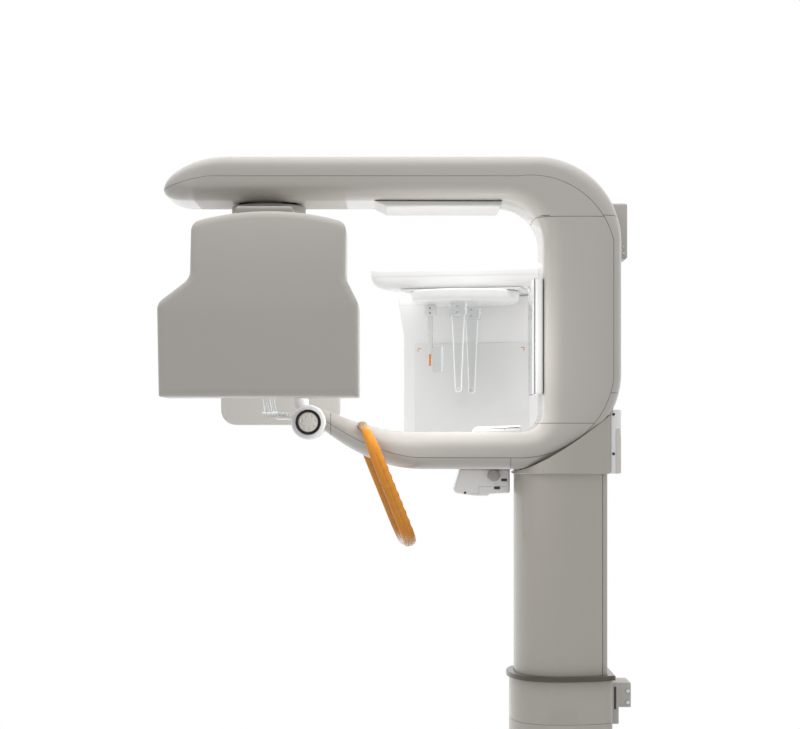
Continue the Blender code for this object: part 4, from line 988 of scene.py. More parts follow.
def makeRearCover():
    low, high = backCover
    r = rearCover
    cover = slabPiece("rearCover", low, (high.x, high.y, high.z + 0.03), r["edge"], 5)
    carve(cover, frameRoom(), meshFrom("lid", slab((low.x - 0.1, low.y - 0.1, high.z),
                                                   (high.x + 0.1, high.y + 0.1, high.z + 0.2))))
    ride(cover, "carriage", "milkCover", ["rear_cover"])
    for down in r["screwDown"]:
        z = high.z - down
        screwHead("rearCoverScrew%d" % round(z * 1000), (low.x + r["screwIn"], low.y, z), (0, -1, 0),
                  r["screwSize"],
                  "carriage", "inkPlastic")
    left, right = low.x + r["trimIn"][0], high.x - r["trimIn"][1]
    base, crest = [low.z + up for up in r["trimUp"]]
    outline = filleted([(left, base, 0.002), (right, base, 0.004), (right, crest - 0.030, 0.020),
                        (right - 0.003, crest, 0.002), (left, crest - 0.004, 0.002)], 6)
    proud, sunk = r["trimFace"]
    trim = [[Vector((p.x, y, p.y)) for p in outline] for y in (low.y - proud, low.y + sunk)]
    ride(rounded(meshFrom("rearCoverTrim", skinned(trim)), r["trimEdge"], 2), "carriage", "sensorGrey")


bracket = {
    "step": 0.0212,
    "shelf": 0.0405,
    "armIn": 0.008,
    "overlap": 0.004,
    "edge": 0.0025,
    "strip": ((-0.012, -0.0008, -0.004), (-0.006, 0.002, -0.010)),
    "screwUp": (0.012, 0.040),
    "screwIn": 0.008,
    "screwSize": 0.0052,
    "screwTall": 0.0026,
}


def makeBracket():
    low, high = bracketBox
    b = bracket
    stepX, mid = low.x + b["step"], low.z + b["shelf"]
    plate = slabPiece("wallPlate", low, (stepX, high.y, high.z), b["edge"])
    arm = slabPiece("bracketArm", (stepX - b["overlap"], low.y + b["armIn"], mid),
                    (high.x, high.y - b["armIn"], high.z - 0.001), b["edge"])
    carve(plate, arm, join=True)
    ride(plate, "column", "slateCover", ["wall_bracket"])
    one, two = b["strip"]
    strip = slabPiece("bracketStrip", (stepX + one[0], low.y + one[1], mid + one[2]),
                      (stepX + two[0], low.y + two[1], high.z + two[2]))
    ride(strip, "column", "inkPlastic")
    for z in [mid + up for up in b["screwUp"]]:
        for y, way, side in ((low.y + b["screwIn"], -1, "Near"), (high.y - b["screwIn"], 1, "Far")):
            screwHead("bracketScrew%d%s" % (round(z * 1000), side), (high.x - b["screwIn"], y, z),
                      (0, way, 0),
                      b["screwSize"], "column", "screwSteel", b["screwTall"])


footPlate = {
    "edge": 0.003,
    "boltIn": 0.032,
    "boltEdge": 0.0008,
    "washer": ((0.006, 0.0025), (0.015, 0.0025), (0.0155, 0.0005), (0.0155, 0), (0.006, 0)),
    "bolts": {"anchorNut": (0.0025, 0.0125, 0.011, 6), "anchorStud": (0.0120, 0.0190, 0.006, 24)},
}


def makeFoot():
    low, high = footBox
    f = footPlate
    boxPiece("footPlate", "floor_plate", f["edge"], 3, "column", "castIron")
    for x in (low.x + f["boltIn"], high.x - f["boltIn"]):
        for y in (low.y + f["boltIn"], high.y - f["boltIn"]):
            name = "%s%s" % ("Front" if x < 0 else "Back", "Near" if y < 0 else "Far")
            washer = meshFrom("anchorWasher" + name, spun(f["washer"], Matrix.Translation((x, y, high.z))))
            ride(washer, "column", "screwSteel")
            for piece, (start, end, radius, sides) in f["bolts"].items():
                bar = barBetween((x, y, high.z + start), (x, y, high.z + end), radius, sides)
                ride(rounded(meshFrom(piece + name, bar), f["boltEdge"], 2), "column", "screwSteel")


makeSleeve()
makeInnerColumn()
makeBronzeRing()
makeSkirt()
makeRearCover()
makeBracket()
makeFoot()
print("column made")


# rotor: hub, tube head and sensor head
frontBox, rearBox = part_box("tube_head_front_cover"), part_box("tube_head_rear_cover")
sensorFront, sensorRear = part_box("sensor_front_cover"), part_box("sensor_rear_cover")
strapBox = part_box("sensor_hanger")

tubeHead = {
    "half": (-0.236, 0.231),
    "neck": (-0.160, 0.2014),
    "shoulder": 1.703,
    "neckStart": 1.762,
    "corner": 1.898,
    "crown": 1.921,
    "edge": 0.018,
    "seam": 0.0007,
    "wall": 0.004,
    "bow": 0.045,
    "bowFrom": 1.66,
    "opening": (0.0804, 0.0896, 0.2704),
    "window": (0.012, 0.059, 0.104),
    # the dark ring of painted shade inside the seam: outer depth, inner depth, reach
    "liner": (0.0016, 0.0034, 0.004),
    "screwIn": (0.130, 0.030),
    "screwSize": 0.0040,
}


def tubeCorners():
    t = tubeHead
    left, right = t["half"]
    neckLeft, neckRight = t["neck"]
    bottom = frontBox[0].z
    middle, half = (neckLeft + neckRight) / 2, (neckRight - neckLeft) / 2 - 0.012
    crown = []
    for i in range(1, 16):
        share = 1 - 2 * i / 16
        crown.append((middle + half * share, mixed(t["corner"], t["crown"], 1 - share * share), 0))
    return [(left + 0.004, bottom, 0.005), (right + 0.0015, bottom, 0.005), (right, t["shoulder"], 0.035),
            (neckRight, t["neckStart"], 0.035), (neckRight, t["corner"] - 0.004, 0.026), *crown,
            (neckLeft, t["corner"] - 0.004, 0.026), (neckLeft, t["neckStart"], 0.035),
            (left, t["shoulder"], 0.030)]


def halfShell(corners, shiftX, closedY, rimY, edge, wall):
    # one half of a casing: a face with rounded edges at closedY, open at rimY
    way = 1 if rimY > closedY else -1

    def ring(distance, y):
        return [Vector((p.x + shiftX, y, p.y)) for p in drawnIn(corners, distance)]

    rings = []
    for angle in quarter(8):
        rings.append(ring(edge * (1 - math.sin(angle)), closedY + way * edge * (1 - math.cos(angle))))
    lip = 0.0006
    rings += [ring(0, rimY - way * lip), ring(lip, rimY), ring(wall, rimY)]
    rings.append(ring(wall, closedY + way * (edge + 0.0005)))
    rings.append(ring(wall + edge * 0.7, closedY + way * wall))
    return rings


def bowed(obj, frontY, seamY):
    # the front leans back a little towards its top
    t = tubeHead
    bm = bmesh.new()
    bm.from_mesh(obj.data)
    fromZ, amount = t["bowFrom"], t["bow"]
    for i in range(28):
        z = mixed(fromZ, t["crown"], (i + 0.5) / 28)
        bmesh.ops.bisect_plane(bm, geom=bm.verts[:] + bm.edges[:] + bm.faces[:], plane_co=(0, 0, z),
                               plane_no=(0, 0, 1))
    for vert in bm.verts:
        lean = amount * max(0.0, (vert.co.z - fromZ) / (t["crown"] - fromZ)) ** 2
        vert.co.y += lean * max(0.0, seamY - vert.co.y) / (seamY - frontY)
    bm.to_mesh(obj.data)
    bm.free()
    obj.data.shade_smooth()
    obj.data.set_sharp_from_angle(angle=math.radians(34))


def makeTubeHead():
    t = tubeHead
    corners = tubeCorners()
    seamY, gap = rearBox[0].y, t["seam"]
    bottom, backY = frontBox[0].z, rearBox[1].y
    front = meshFrom("tubeHeadFront",
                     skinned(halfShell(corners, rotorAt.x, frontBox[0].y, seamY - gap, t["edge"], t["wall"])))
    bowed(front, frontBox[0].y, seamY)
    ride(front, "rotor", "coverSatin", ["tube_head_front_cover"])
    rear = meshFrom("tubeHeadRear",
                    skinned(halfShell(corners, rotorAt.x, backY, seamY, t["edge"], t["wall"])))
    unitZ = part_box("x_ray_tube_unit")[0].z
    cutters = []
    for half, base, (lowZ, highZ), deep in ((t["opening"][0], unitZ, t["opening"][1:], 0.02),
                                            (t["window"][0], bottom, t["window"][1:], 0.01)):
        cutters.append(meshFrom("opening", slab((rotorAt.x - half, backY - deep, base + lowZ),
                                                (rotorAt.x + half, backY + 0.01, base + highZ))))
    carve(rear, *cutters)
    ride(rear, "rotor", "coverSatin", ["tube_head_rear_cover"])
    # painted shade: a dark ring just inside the seam between the two halves, for the shadow in the gap
    outer, inner, reach = t["liner"]
    rings = []
    for depth, y in ((outer, -reach), (outer, reach), (inner, reach), (inner, -reach)):
        rings.append([Vector((p.x + rotorAt.x, seamY + y, p.y)) for p in drawnIn(corners, depth)])
    ride(meshFrom("tubeHeadSeamShade", skinned(rings, closed=True)), "rotor", "inkPlastic")
    aside, up = t["screwIn"]
    for z in (bottom + up, t["corner"] - up):
        for x, side in ((-aside, "Left"), (aside, "Right")):
            screwHead("tubeHeadScrew%d%s" % (round(z * 1000), side), (rotorAt.x + x, backY, z), (0, 1, 0),
                      t["screwSize"], "rotor", "screwSteel")


sensorHead = {
    "corners": (0.040, 0.015),
    "edges": (0.006, 0.008),
    "seam": 0.0005,
    "wall": 0.004,
    "strapAir": 0.0004,
    "strapReach": 0.02,
    "window": (0.010, 0.040, 0.02),
    "windowFace": (0.0006, 0.0010),
    "windowEdge": 0.0004,
}


def makeSensorHead():
    s = sensorHead
    half = (sensorFront[1].x - sensorFront[0].x) / 2
    shift = (sensorFront[1].x + sensorFront[0].x) / 2
    bottom, top = sensorFront[0].z, sensorFront[1].z
    lowRound, topRound = s["corners"]
    plate = [(-half, bottom, lowRound), (half, bottom, lowRound), (half, top, topRound),
             (-half, top, topRound)]
    low, high = strapBox
    air, reach = s["strapAir"], s["strapReach"]
    for name, faceY, rimY, edge, node, finish, slotName in (
            ("sensorFront", sensorFront[0].y, sensorRear[0].y - s["seam"], s["edges"][0],
             "sensor_front_cover", "sensorGrey", "grey_cover"),
            ("sensorBack", sensorRear[1].y, sensorRear[0].y, s["edges"][1],
             "sensor_rear_cover", "coverSatin", "warm_white")):
        shell = meshFrom(name, skinned(halfShell(plate, shift, faceY, rimY, edge, s["wall"])))
        carve(shell, meshFrom("strapSlot", slab((low.x - air, low.y - air, top - reach),
                                                (high.x + air, high.y + air, top + reach))))
        ride(shell, "rotor", finish, [node])
    half, up, down = s["window"]
    proud, sunk = s["windowFace"]
    window = slabPiece("sensorWindow", (shift - half, sensorFront[0].y - proud, frontBox[0].z + up),
                       (shift + half, sensorFront[0].y + sunk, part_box("sensor_panel")[1].z - down),
                       s["windowEdge"])
    ride(window, "rotor", "inkPlastic")


hubSizes = {
    "air": 0.0003,
    "rim": 0.004,
    "lip": 0.001,
    "beamEdge": 0.009,
    "beamScrewX": 0.025,
    "beamScrewY": (0.05, 0.025),
    "screwSize": 0.0055,
    "hangerEdge": 0.005,
}


def makeHub():
    h = hubSizes
    low, high = hubBox
    radius, bore = high.x - rotorAt.x, (shaftBox[1].x - shaftBox[0].x) / 2 + h["air"]
    rim, lip = h["rim"], h["lip"]
    profile = [(bore, high.z), (radius - rim, high.z)]
    profile += [(radius - rim + rim * math.sin(a), high.z - rim * (1 - math.cos(a))) for a in quarter(5, 1)]
    profile += [(radius, low.z + lip), (radius - lip, low.z), (bore, low.z)]
    hub = meshFrom("hubCover", spun(profile, Matrix.Translation((rotorAt.x, 0, 0)), 128))
    # painted shade: the hub cover and rotor beam take the darker grey of the shade under the arm
    ride(hub, "rotor", "paintedShadeCover", ["rotor_hub_cover"])
    low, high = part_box("rotor_beam")
    boxPiece("rotorBeam", "rotor_beam", h["beamEdge"], 6, "rotor", "paintedShadeCover")
    for x in (low.x + h["beamScrewX"], high.x - h["beamScrewX"]):
        for y in (low.y + h["beamScrewY"][0], high.y - h["beamScrewY"][1]):
            screwHead("beamScrew%d%d" % (abs(round(x * 1000)), abs(round(y * 1000))), (x, y, low.z),
                      (0, 0, -1),
                      h["screwSize"], "rotor", "screwSteel")
    boxPiece("tubeHeadHanger", "tube_head_hanger", h["hangerEdge"], 5, "rotor", "coverSatin")


makeHub()
makeTubeHead()
makeSensorHead()
print("rotor made")


# chin support, temple supports and the knob that opens them
housingBox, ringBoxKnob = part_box("knob_housing"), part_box("knob_ring")
restBox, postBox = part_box("chin_rest"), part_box("chin_post")

knobSizes = {
    "ringIn": 0.0258,
    "dimples": 7,
    "dimpleAt": 0.0165,
    "dimpleSize": 0.0042,
    "dimpleDeep": 0.0016,
    "deep": 0.020,
    "shelf": (-0.081, 0.015, 0.008, 0.052),
    "rim": 0.005,
    "stem": 0.011,
    "flangeDown": 0.054,
    "cupDip": 0.007,
    "cup": ((0, 0.58), (0.001, 0.64), (0.004, 0.87), (0.006, 0.94), (0.010, 0.97), (0.022, 1.0),
            (0.0252, 0.995),
            (0.026, 0.97), (0.0262, 0.94), (0.0256, 0.905), (0.018, 0.87), (0.011, 0.82), (0.008, 0.70)),
}
temple = {
    "footX": (-0.071, -0.051),
    "footUp": 0.006,
    "linkX": -0.0575,
    "linkDeep": 0.012,
    "linkUp": 0.010,
    "half": 0.0100,
    "thick": 0.0018,
    "standX": (0.0104, 0.0085),
    "edge": 0.0009,
    "edgeIn": 0.0010,
    "screwX": -0.061,
    "screwSize": 0.0035,
}


def makeKnob():
    k = knobSizes
    place = facing(knobAt, (0, -1, 0))
    ringOut = (ringBoxKnob[1].z - ringBoxKnob[0].z) / 2
    faceOut, deep = k["ringIn"] - 0.0003, k["deep"]
    profile = [(0, deep - 0.0012), (faceOut * 0.45, deep - 0.0014), (faceOut - 0.004, deep - 0.0022),
               (faceOut - 0.0015, deep - 0.0032), (faceOut, deep - 0.0055), (faceOut, 0), (0, 0)]
    face = meshFrom("knobFace", spun(profile, place, 96))
    pits = []
    for i in range(k["dimples"]):
        angle = 2 * math.pi * (i + 0.25) / k["dimples"]
        bm = bmesh.new()
        size = k["dimpleSize"]
        bmesh.ops.create_uvsphere(bm, u_segments=20, v_segments=12, radius=size)
        at = place @ Matrix.Translation((k["dimpleAt"] * math.cos(angle), k["dimpleAt"] * math.sin(angle),
                                         deep - 0.0020 + size - k["dimpleDeep"])) @ Matrix.Rotation(angle, 4,
                                                                                                    "Z")
        bmesh.ops.transform(bm, matrix=at, verts=bm.verts)
        pits.append(meshFrom("dimple", bm))
    carve(face, *pits)
    ride(face, "knob", "knobGrey", ["knob_face"])
    ridges = 48
    rings = []
    for radius, z in ((k["ringIn"], deep - 0.0012), (ringOut - 0.0018, deep),
                      (ringOut - 0.0004, deep - 0.0012),
                      (ringOut, deep - 0.003), (ringOut, 0.001), (ringOut - 0.001, 0), (k["ringIn"], 0)):
        ring = []
        for i in range(ridges * 4):
            angle = 2 * math.pi * i / (ridges * 4)
            cutIn = 0.0005 * (0.5 - 0.5 * math.cos(ridges * angle)) if radius > ringOut - 0.0015 else 0
            ring.append(place @ Vector(((radius - cutIn) * math.cos(angle),
                                        (radius - cutIn) * math.sin(angle), z)))
        rings.append(ring)
    ride(meshFrom("knobRing", skinned(rings, closed=True)), "knob", "blackRubber", ["knob_ring"])


def makeHousing():
    low, high = housingBox
    radius = (high.z - low.z) / 2
    half = high.y
    rim = knobSizes["rim"]
    profile = [(0, half), (radius - rim, half)]
    profile += [(radius - rim * (1 - math.sin(a)), half - rim * (1 - math.cos(a)))
                for a in quarter(6, 1)]
    profile += [(radius - rim * (1 - math.cos(a)), -half + rim * (1 - math.sin(a)))
                for a in quarter(6)]
    profile += [(0, -half)]
    housing = meshFrom("knobHousing", spun(profile, facing((knobAt.x, 0, knobAt.z), (0, -1, 0)), 96))
    front, top, thick, halfY = knobSizes["shelf"]
    shelf = slabPiece("chinShelf", (knobAt.x + front, -halfY, knobAt.z + top - thick),
                      (knobAt.x, halfY, knobAt.z + top), 0.004, 4)
    carve(housing, shelf, join=True)
    ride(housing, "carriage", "milkCover", ["knob_housing"])


def makeChinRest():
    low, high = postBox
    at = Vector(((low.x + high.x) / 2, 0, 0))
    flange, stem, top = (high.x - low.x) / 2, knobSizes["stem"], high.z
    foot = top - knobSizes["flangeDown"]
    profile = [(0, top), (stem, top), (stem, top - 0.026), (stem + 0.0015, top - 0.028),
               (flange - 0.002, top - 0.032),
               (flange, top - 0.034), (flange, foot), (0, foot)]
    post = meshFrom("chinPost", spun(profile, Matrix.Translation(at), 64))
    carve(post, knobSeat(0.05))
    ride(post, "carriage", "pearlCover", ["chin_post"])
    low, high = restBox
    x, halfX, halfY = (low.x + high.x) / 2, (high.x - low.x) / 2, high.y
    rings = []
    for up, share in knobSizes["cup"]:
        ring = []
        for i in range(56):
            angle = 2 * math.pi * i / 56
            dip = knobSizes["cupDip"] * max(0.0, -math.cos(angle)) ** 3 * eased((up - 0.010) / 0.012)
            ring.append(Vector((x + halfX * share * math.cos(angle), halfY * share * math.sin(angle),
                                low.z + up - dip)))
        rings.append(ring)
    ride(meshFrom("chinRest", skinned(rings)), "carriage", "milkCover", ["chin_rest"])


def makeTemples():
    # a clear foot on the shelf, with a curved blade that stands up from its end
    t = temple
    for sign, side in ((-1, "near"), (1, "far")):
        low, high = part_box("temple_%s_support" % side)
        outerY = low.y if sign < 0 else high.y
        innerY = high.y if sign < 0 else low.y
        base = low.z
        foot = slabPiece("templeFoot", (knobAt.x + t["footX"][0], min(innerY, outerY), base),
                         (knobAt.x + t["footX"][1], max(innerY, outerY), base + t["footUp"]), 0.002)
        nearY = outerY - sign * t["linkDeep"]
        link = slabPiece("templeLink", (low.x, min(nearY, outerY), base),
                         (knobAt.x + t["linkX"], max(nearY, outerY), base + t["linkUp"]), 0.003)
        rings, edges = [], []
        for i in range(29):
            share = i / 28
            z = mixed(base + 0.002, high.z, share)
            halfWide = t["half"] * (1 - 0.25 * share) * math.sqrt(max(1 - max(0, (share - 0.88) / 0.12) ** 2,
                                                                      0.02))
            middle = low.x + t["standX"][0] + t["standX"][1] * max(0.0, 1 - share / 0.35) ** 1.5
            y = outerY - sign * (0.002 + 0.001 * math.sin(math.pi * share))
            edges.append((Vector((middle, y - 0.0012, z)), halfWide - t["edgeIn"]))
            rings.append([Vector((middle + halfWide * math.cos(a), y + t["thick"] * math.sin(a), z))
                          for a in [2 * math.pi * j / 20 for j in range(20)]])
        blade = meshFrom("templeBlade", skinned(rings))
        carve(foot, link, blade, join=True)
        foot.name = "templeSupport" + side.capitalize()
        ride(foot, "temple_" + side, "clearAcrylic", ["temple_%s_support" % side])
        # painted highlight: glowing strips along the blade's front edge, a rib and its back edge
        for way, edgeName in ((-1, "Front"), (0.25, "Rib"), (1, "Back")):
            path = [at + Vector((way * half, 0, 0)) for at, half in edges[:-2]]
            ride(bead("templeHighlight%s%s" % (edgeName, side.capitalize()), path, Vector((0, 1, 0)), t["edge"]),
                 "temple_" + side, "paintedHighlight")
        screwHead("templeScrew" + side.capitalize(),
                  (knobAt.x + t["screwX"], (innerY + outerY) / 2, base + t["footUp"]), (0, 0, 1),
                  t["screwSize"], "temple_" + side, "screwSteel")


makeHousing()
makeKnob()
makeChinRest()
makeTemples()
print("chin support made")


# console under the lower arm
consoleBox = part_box("console_body")
stopBox, keyUp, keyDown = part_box("emergency_stop"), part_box("height_key_up"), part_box("height_key_down")

consoleShape = {
    "floor": ((0.0, 0.0085, 0.010), (0.0432, 0.0020, 0.020), (0.0633, 0.0004, 0.010), (0.0859, 0.0006, 0.006),
              (0.0935, 0.0055, 0.004)),
    "heel": 0.0080,
    "rim": 0.007,
    "slant": 0.0180,
    "trayTop": 0.0245,
    "trayX": 0.0655,
    "bore": 0.0075,
    "keyAir": 0.0005,
    "keyDeep": 0.0115,
    "lineFace": (0.0002, 0.0010),
    "screwAt": (0.0307, 0.0085),
    "screwSize": 0.0032,
}


def makeConsole():
    low, high = consoleBox
    c = consoleShape
    floor = [(low.x + x, low.z + z, radius) for x, z, radius in c["floor"]]
    outline = filleted([*floor, (high.x, low.z + c["heel"], 0.005), (high.x, high.z, 0),
                        (low.x + c["slant"], high.z, 0)], 8)

    def under(x, y, z):
        return Vector((x, y, min(z, high.z)))

    body = meshFrom("consoleBody", skinned(plateRings(outline, c["rim"], low.y, high.y, under, 5, 0.7)))
    stopX, stopZ = (stopBox[0].x + stopBox[1].x) / 2, (stopBox[0].z + stopBox[1].z) / 2
    cutters = [meshFrom("bore", barBetween((stopX, low.y - 0.01, stopZ), (stopX, low.y + 0.035, stopZ),
                                           c["bore"], 40))]
    air = c["keyAir"]
    for box in (keyUp, keyDown):
        cutters.append(meshFrom("pocket", slab((box[0].x - air, low.y - 0.01, box[0].z - air),
                                               (box[1].x + air, low.y + c["keyDeep"], box[1].z + air))))
    trayX, trayZ = low.x + c["trayX"], low.z + c["trayTop"]
    carve(body, *cutters)
    ride(body, "carriage", "detectorWhite", ["console_body"])
    for start, end, name in (((trayX, trayZ - 0.0006), (high.x - 0.008, trayZ + 0.0002), "Level"),
                             ((trayX - 0.0004, low.z + 0.006), (trayX + 0.0004, trayZ), "Upright"),
                             ((trayX - 0.020, low.z + 0.0056), (trayX, low.z + 0.0064), "Step")):
        proud, sunk = c["lineFace"]
        line = slabPiece("trayLine" + name, (start[0], low.y - proud, start[1]),
                         (end[0], low.y + sunk, end[1]), 0.0001, 1)
        ride(line, "carriage", "slateCover")
    radius = (stopBox[1].x - stopBox[0].x) / 2
    front = low.y - stopBox[0].y
    profile = [(0, front), (radius * 0.7, front - 0.0002), (radius - 0.003, front - 0.0008),
               (radius - 0.0008, front - 0.0022),
               (radius, front - 0.004), (radius, front - 0.0115), (radius - 0.002, 0.0082), (0.007, 0.0082),
               (0.007, -0.0248),
               (0, -0.0248)]
    ride(meshFrom("stopButton", spun(profile, facing((stopX, low.y, stopZ), (0, -1, 0)), 72)), "stop_button",
         "slateCover",
         ["emergency_stop"])
    for way in ("up", "down"):
        boxPiece("heightKey" + way.capitalize(), "height_key_" + way, 0.0012, 4, "key_" + way, "inkPlastic")
    screwX, screwZ = c["screwAt"]
    screwHead("consoleScrew", (low.x + screwX, low.y + 0.0003, low.z + screwZ), (0, -1, 0), c["screwSize"],
              "carriage", "inkPlastic")


makeConsole()
print("console made")


# cephalometric arm, detector and head holder
dishBox, armBox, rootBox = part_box("ceph_dish"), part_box("ceph_arm_cover"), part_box("ceph_arm_root")
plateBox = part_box("ceph_carrier_plate")
cephAt = Vector(((dishBox[0].x + dishBox[1].x) / 2, (dishBox[0].y + dishBox[1].y) / 2, 0))

ceph = {
    "turn": math.radians(-15),
    "armX": 0.130,
    "bend": 0.160,
    "halfArm": 0.040,
    "halfEnd": 0.075,
    "end": -0.292,
    "under": 1.851,
    "top": armBox[1].z,
    "detector": (-0.245, 0.205, 1.350, 1.720, 0.016),
    "near": 0.175,
    "far": 0.235,
    "window": (0.038, 0.020, 0.039, 0.026),
    "earAxis": 1.5415,
    "earOut": 0.093,
    "lineDown": 0.034,
    "lineDeep": 0.0016,
    "lineHalf": 0.0007,
    "wall": 0.004,
    "plate": (0.19, -0.075),
    "plateScrews": ((-0.165, 0.165), (-0.05, 0.21)),
    "plateScrewSize": 0.0035,
}


def cephPoint(a, b, z):
    # a runs across the beam, b along it
    c, s = math.cos(ceph["turn"]), math.sin(ceph["turn"])
    return Vector((cephAt.x + a * c - b * s, cephAt.y + a * s + b * c, z))


cephPlace = Matrix.Translation(cephAt) @ Matrix.Rotation(ceph["turn"], 4, "Z")
alongBeam = (cephPoint(0, 1, 0) - cephPoint(0, 0, 0)).normalized()


def cephSlab(name, low, high, width=0.002, segments=3):
    bm = slab(low, high)
    bmesh.ops.transform(bm, matrix=cephPlace, verts=bm.verts)
    return rounded(meshFrom(name, bm), width, segments)


def cephStations():
    c = ceph
    steps = 20
    corner = cephPoint((c["armX"] - cephAt.x) / math.cos(c["turn"]), 0, 0)
    turn = math.pi / 2 + c["turn"]
    start = Vector((c["armX"], corner.y - c["bend"] * math.tan(turn / 2), 0))
    hub = start + Vector((-c["bend"], 0, 0))
    stations = [(Vector((c["armX"], armBox[0].y, 0)), Vector((1, 0, 0)), c["halfArm"], c["under"])]
    for i in range(1, 7):
        stations.append((Vector((c["armX"], mixed(armBox[0].y, start.y, i / 7), 0)), Vector((1, 0, 0)),
                         c["halfArm"], c["under"]))
    for i in range(steps + 1):
        angle = turn * i / steps
        out = Vector((math.cos(angle), math.sin(angle), 0))
        stations.append((hub + out * c["bend"], out, mixed(c["halfArm"], c["halfEnd"], i / steps * 0.6),
                         c["under"]))
    heading = cephPoint(-1, 0, 0) - cephPoint(0, 0, 0)
    side = Vector((heading.y, -heading.x, 0))
    last = stations[-1][2]
    for share in (0.25, 0.5, 0.75):
        stations.append((cephPoint(mixed(0.10, -0.05, share), 0, 0), side, mixed(last, c["halfEnd"], share),
                         c["under"]))
    for back in (0.242, 0.17, 0.092):
        stations.append((cephPoint(c["end"] + back, 0, 0), side, c["halfEnd"], c["under"]))
    for angle in quarter(14, 1):
        share = mixed(1, 0.52, 1 - math.cos(angle))
        back = 0.062 * (1 - math.sin(angle))
        stations.append((cephPoint(c["end"] + back, 0, 0), side, c["halfEnd"] * share,
                         c["under"] + 0.040 * (1 - math.cos(angle))))
    return stations


def cephSection(point, side, half, under, grow=0.0, edge=0.030):
    # a slice with round lower edges and softer upper ones
    deep = ceph["top"] - under
    low = min(edge, 0.46 * deep, half * 0.9)
    high = min(0.022, 0.46 * deep)
    near = []
    for a in quarter(8):
        near.append((half - low * (1 - math.sin(a)), low * (1 - math.cos(a))))
    for a in quarter(8):
        near.append((half - high * (1 - math.cos(a)), deep - high * (1 - math.sin(a))))
    base = point + Vector((0, 0, under))
    lift = Vector((0, 0, 1))
    out = []
    for w, d in near:
        out.append((w + grow, mixed(-grow, grow, d / deep) + d))
    ring = [base - side * w + lift * d for w, d in out]
    return ring + [base + side * w + lift * d for w, d in reversed(out)]


def cephSkin(stations, grow=0.0):
    return skinned([cephSection(*station, grow) for station in stations])


def makeCephArm():
    c = ceph
    stations = cephStations()
    cover = meshFrom("cephArmCover", cephSkin(stations))
    first = stations[0]
    inside = [(first[0] - Vector((0, 0.01, 0)), *first[1:])] + stations[1:-9]
    seamZ = c["top"] - c["lineDown"]
    grooves = []
    for sign in (-1, 1):
        rings = []
        for point, out, half in [station[:3] for station in stations[:-6]]:
            at = point + out * sign * half + Vector((0, 0, seamZ))
            deep, up = out * sign * c["lineDeep"], Vector((0, 0, c["lineHalf"]))
            rings.append([at - deep - up, at + deep - up, at + deep + up, at - deep + up])
        grooves.append(meshFrom("armGroove", skinned(rings)))
    carve(cover, meshFrom("armVoid", cephSkin(inside, -c["wall"])), *grooves)
    ride(cover, "carriage", "milkCover", ["ceph_arm_cover"])
    half, nearB = c["plate"]
    plate = cephSlab("cephCarrierPlate", (-half, nearB, plateBox[0].z), (half, c["far"], plateBox[1].z),
                     0.0012)
    # painted light: the steel carrier plate takes the pale pearl finish, to lighten the shaded gap between
    # the arm and the dish
    ride(plate, "carriage", "pearlCover", ["ceph_carrier_plate"])
    for a in c["plateScrews"][0]:
        for b in c["plateScrews"][1]:
            screwHead("plateScrew%d%d" % (a > 0, b > 0), cephPoint(a, b, plateBox[0].z), (0, 0, -1),
                      c["plateScrewSize"],
                      "carriage", "screwSteel", 0.0009)


armRoot = {
    "sunk": 0.02,
    "edge": 0.006,
    "capIn": 0.0095,
    "caps": ((0.014, 0.0030), (0.030, 0.0022)),
    "boltIn": 0.036,
    "boltDeep": (0.030, 0.130),
    "boltSize": 0.0060,
}


def makeArmRoot():
    low, high = rootBox
    r = armRoot
    root = slabPiece("cephArmRoot", (low.x - r["sunk"], low.y, low.z), high, r["edge"], 5)
    carve(root, frameRoom())
    ride(root, "carriage", "slateCover", ["ceph_arm_root"])
    for up, size in r["caps"]:
        z = low.z + up
        screwHead("rootScrew%d" % round(z * 1000), (high.x - r["capIn"], low.y, z), (0, -1, 0), size,
                  "carriage", "screwSteel")
    for z in (low.z + r["boltIn"], high.z - r["boltIn"]):
        for y in [low.y + deep for deep in r["boltDeep"]]:
            screwHead("rootBolt%d%d" % (round(z * 1000), round((y - low.y) * 1000)), (high.x, y, z),
                      (1, 0, 0),
                      r["boltSize"], "carriage", "inkPlastic", 0.0016)


detector = {
    "corner": 0.02,
    "waistRound": 0.06,
    "shoulder": 0.030,
    "rim": 0.007,
    "seam": (0.026, 0.0005, 0.0015),
    "paneFace": (0.0033, 0.0003),
    "markIn": (0.010, 0.014),
    "markDown": 0.016,
    "markFace": (0.0038, 0.0030),
    "marks": {"Flat": ((0, 0), (0.012, 0.0022)), "Upright": ((0, -0.010), (0.0022, 0.0022))},
    "capAt": (0.004, 0.046),
    "capSize": 0.0062,
}


